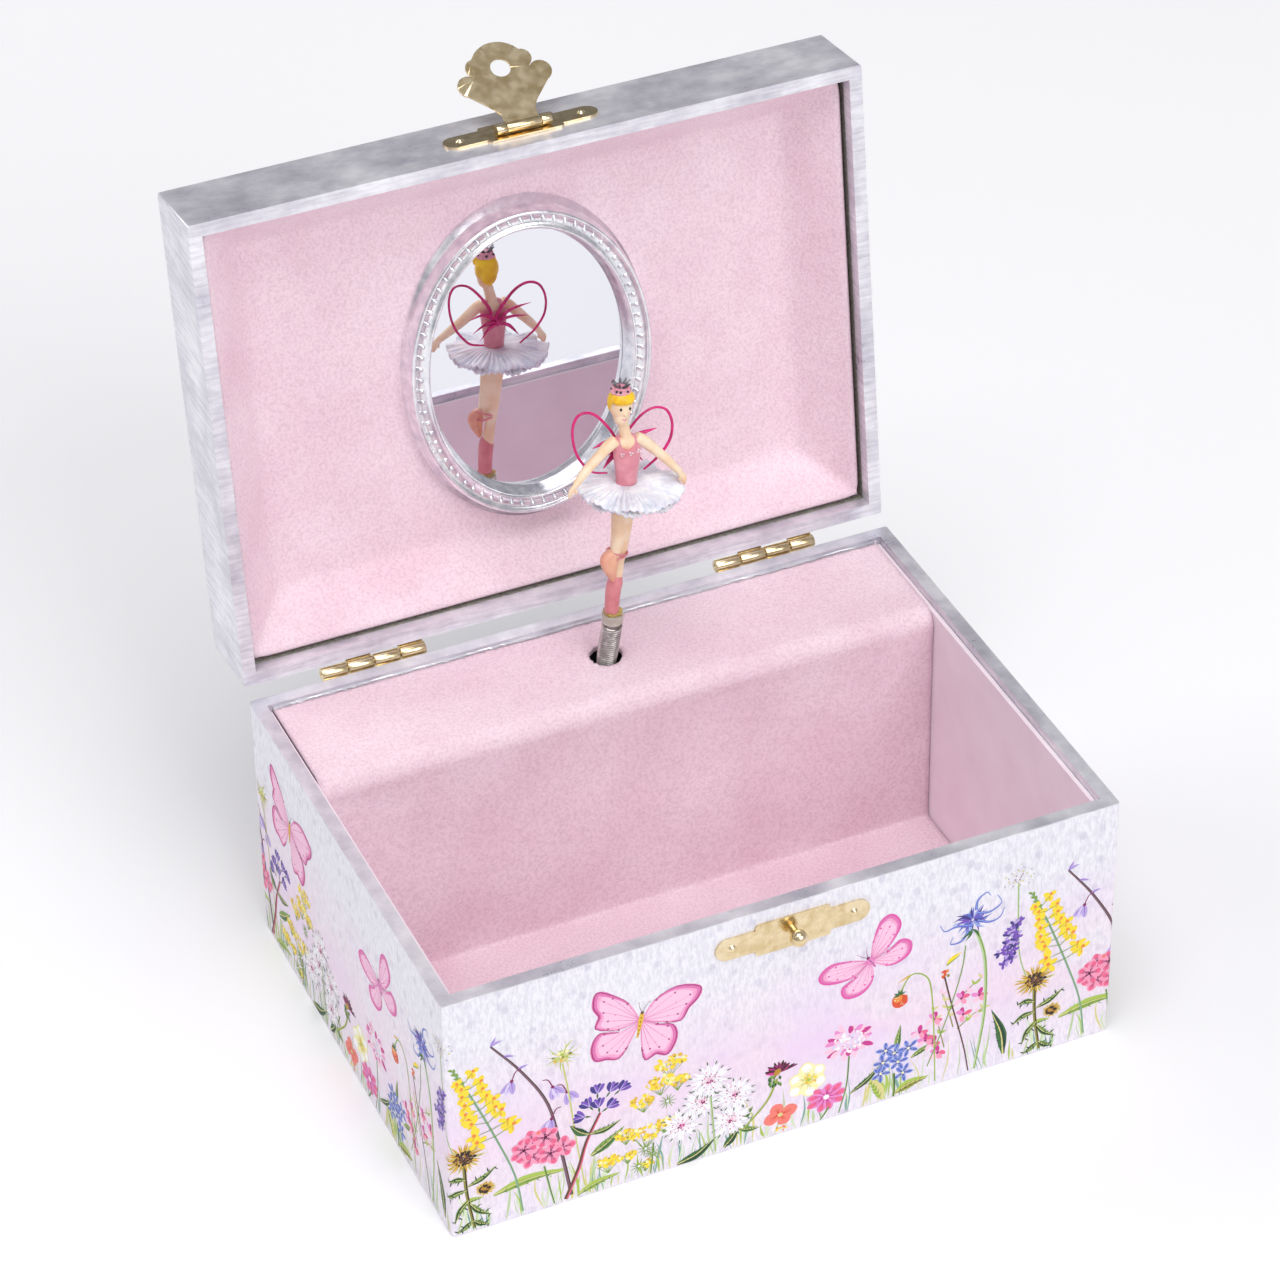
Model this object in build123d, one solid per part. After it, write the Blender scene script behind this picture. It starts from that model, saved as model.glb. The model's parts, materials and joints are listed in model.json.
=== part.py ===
from build123d import *
from math import pi, radians, tan
import os

# Musical jewellery box with a dancer on a spring. Millimetres, +X right, +Y back, +Z up.
# Origin: the centre of the underside. The rest pose has the lid open on its stop.

os.makedirs("parts", exist_ok=True)

# ---- driving dimensions -------------------------------------------------------------
WIDTH = 154.0            # outside, left to right
DEPTH = 110.4            # outside, front to back
BASE_HEIGHT = 63.5
LID_HEIGHT = 19.6
LID_GAP = 0.2            # paper to paper when closed
LID_OPEN = 97.2          # degrees from closed to the stop
PAPER = 0.3              # wrap paper
BOARD = 2.4              # grey board
WALL = BOARD + 2 * PAPER
LINING = 1.0             # paper lined card
VELOUR = 1.6             # card with its velour face
FLOOR_TOP = PAPER + BOARD
DECK_TOP = BASE_HEIGHT - 1.0
PARTITION_FRONT = -DEPTH / 2 + 77.9
FIT = 0.05               # radial clearance of running fits

HALF_W = WIDTH / 2
HALF_D = DEPTH / 2
RIM_X = HALF_W - WALL
RIM_Y = HALF_D - WALL

HINGE_CENTRE_X = 47.3    # each side of the middle
HINGE_WIDTH = 24.3
HINGE_BEHIND = 2.1       # axis behind the rear face
HINGE_Y = HALF_D + HINGE_BEHIND
HINGE_Z = BASE_HEIGHT + LID_GAP / 2
BARREL_R = 1.45
HINGE_PIN_R = 0.6

SHEET = 0.5              # brass sheet
CLASP_X = 0.8            # middle of the clasp
KNOB_Z = 56.1
HASP_REACH = 14.1        # hinge axis of the flap to its hole
HASP_Z = KNOB_Z + HASP_REACH
HASP_Y = -HALF_D - 1.75
HASP_REST = 142.8        # degrees from hanging flat to its stop

SPINDLE_X = 0.4
SPINDLE_Y = 39.2
DECK_HOLE_R = 3.75
DOLL_FOOT = (0.36, 35.34, 72.0)     # a point on the dancer's own axis
DOLL_LEAN_X = 6.4        # degrees to the right
DOLL_LEAN_Y = 5.4        # degrees to the back

KEY_Z = 27.0             # winding arbor, on the spindle's X
CROWN_R = 12.0           # pitch radius of the drum's crown teeth
CROWN_TEETH = 40
PINION_TEETH = 10
PINION_R = CROWN_R * PINION_TEETH / CROWN_TEETH
TRAIN_Y = SPINDLE_Y      # spindle and cylinder axes share this depth
GOVERNOR_R = 8.0         # pitch radius of the cylinder's large wheel
GOVERNOR_TEETH = 40

lid_axis = Axis((0, HINGE_Y, HINGE_Z), (1, 0, 0))


# ---- helpers ------------------------------------------------------------------------
def span(x0, x1, y0, y1, z0, z1):
    """A box between two corners."""
    centre = ((x0 + x1) / 2, (y0 + y1) / 2, (z0 + z1) / 2)
    return Pos(*centre) * Box(x1 - x0, y1 - y0, z1 - z0)


def rod(x, y, z, axis, radius, length):
    """A cylinder that starts at a point and runs along X, Y or Z."""
    turn = {"X": Rot(0, 90, 0), "Y": Rot(-90, 0, 0), "Z": Rot(0, 0, 0)}[axis]
    align = (Align.CENTER, Align.CENTER, Align.MIN)
    return Pos(x, y, z) * turn * Cylinder(radius, length, align=align)


def cone(r_low, r_high, height):
    """A cone frustum standing on z = 0."""
    return Cone(r_low, r_high, height, align=(Align.CENTER, Align.CENTER, Align.MIN))


def slab(sketch, y, thickness):
    """Extrudes a sketch drawn as (x, z) from the plane at y towards the front."""
    return extrude(Plane((0, y, 0), x_dir=(1, 0, 0), z_dir=(0, -1, 0)) * sketch, thickness)


def opened(shape):
    """Turns a shape drawn on the closed lid to the open rest pose."""
    return shape.rotate(lid_axis, -LID_OPEN)


def gear(teeth, pitch_r, depth, width, thickness):
    """A spur gear about Z with straight flanked teeth, from z = 0 upwards."""
    root = pitch_r - depth / 2
    tip = pitch_r + depth / 2
    body = Circle(root)
    tooth = Polygon((root - 0.3, -width / 2), (tip, -width * 0.3), (tip, width * 0.3), (root - 0.3, width / 2),
                    align=None)
    for i in range(teeth):
        body += Rot(0, 0, i * 360 / teeth) * tooth
    return extrude(body, thickness)


def save(shape, node):
    """Writes one node as its own STEP file."""
    export_step(shape if len(shape.solids()) > 1 else shape.solid(), f"parts/{node}.step")


# ---- base: boards, papers and linings -----------------------------------------------
def base_boards():
    top = BASE_HEIGHT - PAPER
    out_x, out_y = HALF_W - PAPER, HALF_D - PAPER
    in_x, in_y = out_x - BOARD, out_y - BOARD
    rear = span(-out_x, out_x, in_y, out_y, PAPER, top)
    rear -= rod(SPINDLE_X, in_y - 1, KEY_Z, "Y", 3.0, WALL + 2)
    for x, z in MOVEMENT_SCREWS:
        rear -= rod(x, in_y - 1, z, "Y", SCREW_R, WALL + 2)
    for x in HINGE_NAILS:
        rear -= rod(x, out_y - NAIL_DEEP, BASE_NAIL_Z, "Y", NAIL_R, WALL)
    front = span(-out_x, out_x, -out_y, -in_y, PAPER, top)
    for x in plate_pin_x():
        front -= rod(x, -out_y - 1, KNOB_Z, "Y", NAIL_R, 1 + NAIL_DEEP)
    front -= rod(CLASP_X, -out_y - 1, KNOB_Z, "Y", KNOB_STEM_R, 1 + NAIL_DEEP)
    save(rear, "rear_board")
    save(front, "front_board")
    save(span(-out_x, -in_x, -in_y, in_y, PAPER, top), "left_board")
    save(span(in_x, out_x, -in_y, in_y, PAPER, top), "right_board")
    save(span(-in_x, in_x, -in_y, in_y, PAPER, FLOOR_TOP), "floor_board")
    save(span(-out_x, out_x, -out_y, out_y, 0, PAPER), "underside_sheet")


def base_papers():
    """The printed wrap round the four sides, and the foil folded over the rim."""
    top = BASE_HEIGHT - PAPER
    out_x, out_y = HALF_W - PAPER, HALF_D - PAPER
    wrap = span(-HALF_W, HALF_W, -HALF_D, HALF_D, 0, top)
    wrap = fillet(wrap.edges().filter_by(Axis.Z), 0.6)
    wrap -= span(-out_x, out_x, -out_y, out_y, -1, top + 1)
    wrap -= rod(SPINDLE_X, HALF_D - 1, KEY_Z, "Y", 3.0, 2)
    for x, z in MOVEMENT_SCREWS:
        wrap -= rod(x, HALF_D - 1, z, "Y", SCREW_R, 2)
    for x in HINGE_NAILS:
        wrap -= rod(x, HALF_D - 1, BASE_NAIL_Z, "Y", NAIL_R, 2)
    for x in plate_pin_x():
        wrap -= rod(x, -HALF_D - 1, KNOB_Z, "Y", NAIL_R, 2)
    wrap -= rod(CLASP_X, -HALF_D - 1, KNOB_Z, "Y", KNOB_STEM_R, 2)
    save(wrap, "printed_wrap")

    rim = span(-HALF_W, HALF_W, -HALF_D, HALF_D, top, BASE_HEIGHT)
    rim = fillet(rim.edges().filter_by(Axis.Z), 0.6)
    return_x, return_y = RIM_X + PAPER, RIM_Y + PAPER
    rim += span(-return_x, return_x, -return_y, return_y, BASE_HEIGHT - 6, top)
    rim -= span(-RIM_X, RIM_X, -RIM_Y, RIM_Y, BASE_HEIGHT - 7, BASE_HEIGHT + 1)
    save(rim, "rim_foil")


def base_linings():
    side = RIM_X - 0.1
    end = RIM_Y - 0.1
    top = BASE_HEIGHT - 2.0
    save(span(-side, -side + LINING, -end, end, FLOOR_TOP + 0.1, top), "left_lining")
    save(span(side - LINING, side, -end, end, FLOOR_TOP + 0.1, top), "right_lining")
    in_x = side - LINING - 0.2
    save(span(-in_x, in_x, -end, -end + LINING, FLOOR_TOP + 0.1, top), "front_lining")

    # one bent card: floor, partition and deck
    low = FLOOR_TOP + 0.1
    bend = 4.5
    front = -end + LINING + 0.1
    partition = span(-in_x, in_x, PARTITION_FRONT, end, low, DECK_TOP)
    corner = partition.edges().filter_by(Axis.X).sort_by(Axis.Y)[:2].sort_by(Axis.Z)[-1]
    partition = fillet(corner, bend)
    room = span(-in_x - 1, in_x + 1, PARTITION_FRONT + VELOUR, end + 5, low - 5, DECK_TOP - VELOUR)
    corner = room.edges().filter_by(Axis.X).sort_by(Axis.Y)[:2].sort_by(Axis.Z)[-1]
    room = fillet(corner, bend - VELOUR)
    insert = partition - room
    insert += span(-in_x, in_x, front, PARTITION_FRONT + VELOUR, low, low + VELOUR)
    insert -= rod(SPINDLE_X, SPINDLE_Y, DECK_TOP - 5, "Z", DECK_HOLE_R, 10)
    save(insert, "velour_insert")


# ---- lid ----------------------------------------------------------------------------
LID_LOW = BASE_HEIGHT + LID_GAP
LID_TOP = LID_LOW + LID_HEIGHT
LINING_FLAT = LID_LOW + 14.6       # velour face of the lid's lining, when closed


def lid_shell():
    out_x, out_y = HALF_W - PAPER, HALF_D - PAPER
    in_x, in_y = out_x - BOARD, out_y - BOARD
    low, top = LID_LOW + PAPER, LID_TOP - PAPER
    front = span(-out_x, out_x, -out_y, -in_y, low, top - BOARD)
    rear = span(-out_x, out_x, in_y, out_y, low, top - BOARD)
    for x in plate_pin_x():
        front -= rod(x, -out_y - 1, HASP_PLATE_Z, "Y", NAIL_R, 1 + NAIL_DEEP)
    for x in HINGE_NAILS:
        rear -= rod(x, out_y - NAIL_DEEP, LID_NAIL_Z, "Y", NAIL_R, WALL)
    save(opened(front), "lid_front_board")
    save(opened(rear), "lid_rear_board")
    save(opened(span(-out_x, -in_x, -in_y, in_y, low, top - BOARD)), "lid_left_board")
    save(opened(span(in_x, out_x, -in_y, in_y, low, top - BOARD)), "lid_right_board")
    save(opened(span(-out_x, out_x, -out_y, out_y, top - BOARD, top)), "lid_top_board")

    wrap = span(-HALF_W, HALF_W, -HALF_D, HALF_D, LID_LOW, LID_TOP)
    wrap = fillet(wrap.edges().filter_by(Axis.Z) + wrap.faces().sort_by(Axis.Z)[-1].edges(), 0.65)
    wrap -= span(-out_x, out_x, -out_y, out_y, low, top)
    fold_x, fold_y = RIM_X + PAPER, RIM_Y + PAPER
    wrap += span(-fold_x, fold_x, -fold_y, fold_y, low - 0.1, low + 3.0)
    wrap -= span(-RIM_X, RIM_X, -RIM_Y, RIM_Y, LID_LOW - 1, low + 4.0)
    for x in plate_pin_x():
        wrap -= rod(x, -HALF_D - 1, HASP_PLATE_Z, "Y", NAIL_R, 1.5)
    for x in HINGE_NAILS:
        wrap -= rod(x, HALF_D - 0.5, LID_NAIL_Z, "Y", NAIL_R, 1.5)
    save(opened(wrap), "lid_foil_wrap")


def level(half_x, half_y, z):
    """A rectangle at one height, for a loft."""
    return Pos(0, 0, z) * Rectangle(2 * half_x, 2 * half_y)


def lid_lining():
    edge = LID_LOW + 3.6
    side_x, side_y = RIM_X - 0.3, RIM_Y - 0.3
    card = 1.2
    fold_x, fold_y = 63.0, 42.0
    body = span(-side_x, side_x, -side_y, side_y, edge, edge + card)
    body += loft([level(side_x, side_y, edge + card), level(fold_x + 1, fold_y + 1, LINING_FLAT + card)])
    body -= loft([level(side_x - 1, side_y - 1, edge - 0.01), level(fold_x, fold_y, LINING_FLAT)])
    save(opened(body), "lid_lining")


MIRROR_X, MIRROR_Y = -0.5, 1.0
MIRROR_OUT = (29.1, 38.8)          # half width and half height of the frame's foot
MIRROR_FACE = (28.2, 36.2)         # of its beaded face
MIRROR_OPEN = (22.85, 31.0)        # of the glass that shows
GLASS = 1.0


def oval(size, z, grow=0.0):
    return Pos(MIRROR_X, MIRROR_Y, z) * Ellipse(size[0] + grow, size[1] + grow)


def mirror():
    face = LID_LOW + 9.4
    foot = LINING_FLAT - 0.1
    lip = foot - GLASS
    frame = extrude(oval(MIRROR_OUT, foot - 1.0), 1.0)
    frame += loft([oval(MIRROR_FACE, face), oval(MIRROR_FACE, foot - 0.9, 0.5)])
    frame -= loft([oval(MIRROR_OPEN, face - 0.01, 1.2), oval(MIRROR_OPEN, lip)])
    frame -= extrude(oval(MIRROR_OPEN, lip - 0.01, 1.6), GLASS + 1)
    frame -= extrude(oval(MIRROR_OPEN, lip - 0.5), 1.0)
    save(opened(frame), "mirror_frame")
    save(opened(extrude(oval(MIRROR_OPEN, lip, 1.5), GLASS)), "mirror_glass")


# ---- hinges -------------------------------------------------------------------------
NAIL_R = 0.45
NAIL_DEEP = 1.9
NAIL_INSET = 8.0
BASE_NAIL_Z = HINGE_Z - 5.0
LID_NAIL_Z = HINGE_Z + 5.0
HINGE_NAILS = [side * HINGE_CENTRE_X + step * NAIL_INSET for side in (-1, 1) for step in (-1, 1)]
KNUCKLE_GAP = 0.3
KNUCKLE = (HINGE_WIDTH - 3 * KNUCKLE_GAP) / 4


def hinge_leaf(centre_x, upper):
    """A leaf with two knuckles. The lower one goes on the base, the upper one on the lid."""
    sign = 1 if upper else -1
    left = centre_x - HINGE_WIDTH / 2
    near, far = sorted((HINGE_Z + sign * 0.95, HINGE_Z + sign * 8.0))
    leaf = span(left, left + HINGE_WIDTH, HALF_D, HALF_D + SHEET, near, far)
    web_low, web_high = sorted((HINGE_Z + sign * 0.95, HINGE_Z + sign * BARREL_R))
    for i in ((1, 3) if upper else (0, 2)):
        x = left + i * (KNUCKLE + KNUCKLE_GAP)
        leaf += span(x, x + KNUCKLE, HALF_D, HINGE_Y, web_low, web_high)
        leaf += rod(x, HINGE_Y, HINGE_Z, "X", BARREL_R, KNUCKLE)
    grip = 0.0 if not upper else FIT
    leaf -= rod(left - 1, HINGE_Y, HINGE_Z, "X", HINGE_PIN_R + grip, HINGE_WIDTH + 2)
    nail_z = LID_NAIL_Z if upper else BASE_NAIL_Z
    for step in (-1, 1):
        leaf -= rod(centre_x + step * NAIL_INSET, HALF_D - 1, nail_z, "Y", NAIL_R, 3)
    return leaf


def nail(x, z, face_y, outward, deep=NAIL_DEEP - PAPER):
    """A domed brass nail: the head stands off face_y, the shank goes in past the paper."""
    reach = deep + PAPER + SHEET
    shank = rod(x, min(face_y, face_y - outward * reach), z, "Y", NAIL_R, reach)
    head = Pos(x, face_y, z) * Rot(-90 * outward, 0, 0) * cone(1.0, 0.45, 0.5)
    return shank + head


def hinges():
    centres = [-HINGE_CENTRE_X, HINGE_CENTRE_X]
    pin_length = HINGE_WIDTH - 0.4
    face = HALF_D + SHEET
    save(Compound([hinge_leaf(x, False) for x in centres]), "hinge_base_leaves")
    save(Compound([opened(hinge_leaf(x, True)) for x in centres]), "hinge_lid_leaves")
    save(Compound([rod(x - pin_length / 2, HINGE_Y, HINGE_Z, "X", HINGE_PIN_R, pin_length) for x in centres]),
         "hinge_pins")
    save(Compound([nail(x, BASE_NAIL_Z, face, 1) for x in HINGE_NAILS]), "hinge_base_nails")
    save(Compound([opened(nail(x, LID_NAIL_Z, face, 1)) for x in HINGE_NAILS]), "hinge_lid_nails")


# ---- clasp --------------------------------------------------------------------------
PLATE_HALF = 17.6
PLATE_PIN_STEP = 13.9
KNOB_R = 1.9
KNOB_STEM_R = 1.0
HASP_PLATE_Z = HASP_Z + 1.8
KNUCKLE_HALF = 3.85
HASP_EAR = 2.2
HASP_PIN_R = 0.5
HASP_BARREL_R = 1.1


def plate_pin_x():
    return [CLASP_X - PLATE_PIN_STEP, CLASP_X + PLATE_PIN_STEP]


def clasp_outline(z):
    """A slim oblong with round ends and a taller middle, drawn as (x, z)."""
    shape = Pos(CLASP_X, z) * SlotOverall(2 * PLATE_HALF, 5.5)
    shape += Pos(CLASP_X, z) * RectangleRounded(17.2, 8.1, 0.8)
    return shape


def clasp():
    knob_plate = slab(clasp_outline(KNOB_Z), -HALF_D, SHEET)
    hasp_plate = slab(clasp_outline(HASP_PLATE_Z), -HALF_D, SHEET)
    for x in plate_pin_x():
        knob_plate -= rod(x, -HALF_D - 2, KNOB_Z, "Y", NAIL_R, 3)
        hasp_plate -= rod(x, -HALF_D - 2, HASP_PLATE_Z, "Y", NAIL_R, 3)
    knob_plate -= rod(CLASP_X, -HALF_D - 2, KNOB_Z, "Y", KNOB_STEM_R, 3)
    save(knob_plate, "knob_plate")

    knob = rod(CLASP_X, -HALF_D - 2.0, KNOB_Z, "Y", KNOB_STEM_R, 2.0 + NAIL_DEEP)
    knob += Pos(CLASP_X, -HALF_D - 3.1, KNOB_Z) * Sphere(KNOB_R)
    save(knob, "clasp_knob")

    # the flap's hinge: an ear each side of the flap's own knuckle
    for side in (-1, 1):
        start = CLASP_X + side * (KNUCKLE_HALF + 0.2)
        left = min(start, start + side * HASP_EAR)
        hasp_plate += rod(left, HASP_Y, HASP_Z, "X", HASP_BARREL_R, HASP_EAR)
        hasp_plate += span(left, left + HASP_EAR, HASP_Y, -HALF_D, HASP_Z + 0.5, HASP_Z + HASP_BARREL_R)
    hasp_plate -= rod(CLASP_X - 20, HASP_Y, HASP_Z, "X", HASP_PIN_R, 40)
    save(opened(hasp_plate), "hasp_plate")
    pin_half = KNUCKLE_HALF + 0.2 + HASP_EAR
    save(opened(rod(CLASP_X - pin_half, HASP_Y, HASP_Z, "X", HASP_PIN_R, 2 * pin_half)), "hasp_pin")

    face = -HALF_D - SHEET
    save(Compound([nail(x, KNOB_Z, face, -1) for x in plate_pin_x()]), "knob_plate_pins")
    save(Compound([opened(nail(x, HASP_PLATE_Z, face, -1)) for x in plate_pin_x()]), "hasp_plate_pins")


FLAP_LOBES = [(8.2, 11.4, 2.5), (5.3, 15.3, 2.2), (0.0, 17.7, 2.7)]     # sideways, down from the axis, radius
FLAP_NECK = [(3.7, 0.0), (3.9, 3.2), (5.0, 4.9), (9.4, 9.3), (8.0, 13.0)]


def hasp_flap():
    """The shell-shaped flap: five lobes round its hole, and a neck up to the knuckle."""
    shape = Pos(CLASP_X, HASP_Z - HASP_REACH) * Circle(6.4)
    for sideways, down, radius in FLAP_LOBES:
        for side in (-1, 1):
            shape += Pos(CLASP_X + side * sideways, HASP_Z - down) * Circle(radius)
    right = [(CLASP_X + sideways, HASP_Z - down) for sideways, down in reversed(FLAP_NECK)]
    left = [(CLASP_X - sideways, HASP_Z - down) for sideways, down in FLAP_NECK]
    shape += Polygon(*right, *left, align=None)
    shape -= Pos(CLASP_X, HASP_Z - HASP_REACH) * Circle(2.2)
    flap = slab(shape, HASP_Y + 0.45, SHEET)
    flap += rod(CLASP_X - KNUCKLE_HALF, HASP_Y, HASP_Z, "X", HASP_BARREL_R, 2 * KNUCKLE_HALF)
    flap -= rod(CLASP_X - 10, HASP_Y, HASP_Z, "X", HASP_PIN_R + FIT, 20)
    flap = flap.rotate(Axis((0, HASP_Y, HASP_Z), (1, 0, 0)), -HASP_REST)
    save(opened(flap), "hasp_flap")


# ---- dancer -------------------------------------------------------------------------
def on_doll_axis(shape):
    """Places a shape drawn upright on Z, with z = 0 at the dancer's foot point."""
    up = Vector(tan(radians(DOLL_LEAN_X)), tan(radians(DOLL_LEAN_Y)), 1)
    return Plane(DOLL_FOOT, x_dir=(1, 0, -up.X), z_dir=up).location * shape


def taper(start, end, r_start, r_end):
    """A round limb between two points, with round ends."""
    start, end = Vector(*start), Vector(*end)
    run = end - start
    limb = Plane(start, z_dir=run).location * cone(r_start, r_end, run.length)
    return limb + Pos(start) * Sphere(r_start) + Pos(end) * Sphere(r_end)


CAP_LOW, CAP_TOP = 1.8, 4.0        # heights above the dancer's foot point
FOOT = 4.2                         # toe of the shoe
KNEE_FRONT = 16.5
HIP = 30.0
WAIST = 36.5
SHOULDER = 45.5
HEAD = 54.0
HEAD_R = 3.7
SWAY = 1.4                         # of the hips and chest to the dancer's left
SKIRT_LOW = 32.9
SKIRT_R = 12.4
WING_FRONT, WING_BACK = 2.35, 3.05


def dancer():
    save(on_doll_axis(Pos(0, 0, CAP_LOW) * cone(2.2, 2.5, CAP_TOP - CAP_LOW)), "spring_cap")

    figure = rod(0, 0, CAP_TOP + 0.1, "Z", 1.2, 2.0)
    figure += taper((0.3, -0.4, FOOT + 1.5), (-0.6, -0.4, KNEE_FRONT), 1.45, 1.15)
    figure += taper((-0.6, -0.4, KNEE_FRONT), (2.1, 0, HIP), 1.15, 1.9)
    figure += taper((-1.4, 0.9, 12.0), (1.2, 0.6, 19.0), 1.1, 1.2)
    figure += taper((1.2, 0.6, 19.0), (0.6, 0, HIP), 1.2, 1.9)
    figure += loft([Pos(SWAY, 0, HIP - 1.0) * Ellipse(3.2, 2.4), Pos(SWAY, 0, WAIST) * Ellipse(2.2, 1.7),
                    Pos(SWAY, 0, SHOULDER - 2.5) * Ellipse(3.5, 2.2), Pos(SWAY, 0, SHOULDER) * Ellipse(3.0, 1.8)])
    for side in (-1, 1):
        shoulder = (SWAY + side * 3.2, 0, SHOULDER - 1.0)
        elbow = (SWAY + side * 8.0, -0.6, 41.0)
        hand = (SWAY + side * 13.0, -1.6, 37.4)
        figure += taper(shoulder, elbow, 1.2, 1.05)
        figure += taper(elbow, hand, 1.05, 0.85)
    figure += taper((SWAY, 0, SHOULDER - 1.0), (-0.4, 0, HEAD - 3.0), 1.3, 1.15)
    figure += Pos(-0.6, 0, HEAD) * Sphere(HEAD_R)
    save(on_doll_axis(figure), "dancer_figure")

    crown = Pos(-0.9, 0, HEAD + 3.2) * (cone(1.7, 2.0, 3.4) - Cylinder(1.3, 12))
    save(on_doll_axis(crown - Pos(-0.6, 0, HEAD) * Sphere(HEAD_R + 0.02)), "dancer_crown")

    skirt = Pos(SWAY + 1.0, 0, SKIRT_LOW) * cone(SKIRT_R - 0.6, SKIRT_R, 1.0)
    skirt += Pos(SWAY + 1.0, 0, SKIRT_LOW + 1.0) * cone(SKIRT_R, 5.0, 2.8)
    skirt -= Pos(SWAY, 0, SKIRT_LOW - 1) * extrude(Ellipse(3.8, 3.0), 8)
    save(on_doll_axis(skirt), "dancer_tutu")

    wings = span(SWAY - 2.6, SWAY + 1.6, WING_FRONT, WING_BACK, 41.0, 44.0)
    thick = WING_BACK - WING_FRONT
    for side in (-1, 1):
        for size, tilt, height in ((5.6, 28, 46.8), (4.0, -40, 39.8)):
            loop = extrude(Ellipse(size, size * 0.62), thick) - extrude(Ellipse(size - 0.7, size * 0.62 - 0.7), thick)
            place = Pos(SWAY / 2 + side * 6.6, WING_BACK, height)
            wings += place * Rot(0, -side * tilt, 0) * Rot(90, 0, 0) * loop
        inner = SWAY / 2 + side * 0.5
        wings += span(*sorted((inner, inner + side * 3.2)), WING_FRONT, WING_BACK, 41.6, 44.4)
    save(on_doll_axis(wings), "dancer_wings")


SPRING_R = 2.05
SPRING_WIRE = 0.27
SPRING_PITCH = 0.68
SPRING_LOW = 60.3


def spring():
    """A close coil from the spindle up to the dancer's cap, leaning a little to the front."""
    bottom = Vector(SPINDLE_X, SPINDLE_Y, SPRING_LOW)
    top = Vector(DOLL_FOOT[0] + 0.1, DOLL_FOOT[1] + 0.1, DOLL_FOOT[2] + 1.0)
    run = top - bottom
    base = Plane(bottom, z_dir=run)
    helix = Helix(SPRING_PITCH, run.length, SPRING_R)
    section = Plane(helix @ 0, z_dir=helix % 0) * Circle(SPRING_WIRE)
    save(base.location * sweep(section, path=helix), "coil_spring")


# ---- musical movement ---------------------------------------------------------------
PLATE_T = 2.0
PLATE_Y = HALF_D - PAPER - BOARD - PLATE_T     # front face of the bedplate
SCREW_R = 1.1
MOVEMENT_SCREWS = [(-16.0, 12.0), (SPINDLE_X + 16.0, 48.0), (50.0, 12.0)]
CYLINDER_R = 6.5
CYLINDER_X = (16.2, 42.0)
COMB_Z = KEY_Z + CYLINDER_R + 0.75
GOVERNOR_Z = KEY_Z - 10.0
WHEEL_R = 6.0
WORM_R = 1.5
FLY_Y = TRAIN_Y - WHEEL_R - WORM_R
WHEEL_X = 50.0
WHEEL_TEETH = 30
WORM_PHASE = 0.25        # of a turn, so that the thread lies between two teeth
HALF_PINION_TOOTH = Rot(0, 0, 180 / PINION_TEETH)


def bedplate():
    plate = span(-20, 56, PLATE_Y, PLATE_Y + PLATE_T, 7, 57)
    plate += span(CYLINDER_X[0], CYLINDER_X[1], TRAIN_Y + 0.6, PLATE_Y, COMB_Z + 12.5, COMB_Z + 20)
    plate += span(SPINDLE_X - 4, SPINDLE_X + 4, SPINDLE_Y - 4, PLATE_Y, 44, 51)      # spindle bracket
    for x0, x1 in ((14.0, 15.4), (52.0, 54.0)):                                       # cylinder bearings
        plate += span(x0, x1, TRAIN_Y - 3, PLATE_Y, GOVERNOR_Z - 3, KEY_Z + 4.2)
    plate -= rod(10, TRAIN_Y, KEY_Z, "X", 1.2 + FIT, 50)
    plate -= rod(10, TRAIN_Y, GOVERNOR_Z, "X", 1.0 + FIT, 50)
    plate -= rod(SPINDLE_X, SPINDLE_Y, 40, "Z", 1.5 + FIT, 20)
    plate -= rod(SPINDLE_X, 40, KEY_Z, "Y", 1.5 + FIT, 20)
    for x, z in MOVEMENT_SCREWS:
        plate -= rod(x, PLATE_Y - 1, z, "Y", SCREW_R, 5)
    for x in (CYLINDER_X[0] + 6, CYLINDER_X[1] - 6):
        plate -= rod(x, TRAIN_Y, COMB_Z + 16, "Y", 0.9, 5)
    save(plate, "movement_bedplate")

    screws = []
    for x, z in MOVEMENT_SCREWS:
        head = rod(x, HALF_D, z, "Y", 2.2, 1.3) - span(x - 3, x + 3, HALF_D + 0.8, HALF_D + 2, z - 0.25, z + 0.25)
        screws.append(head + rod(x, PLATE_Y, z, "Y", SCREW_R, HALF_D - PLATE_Y))
    save(Compound(screws), "movement_screws")


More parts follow.
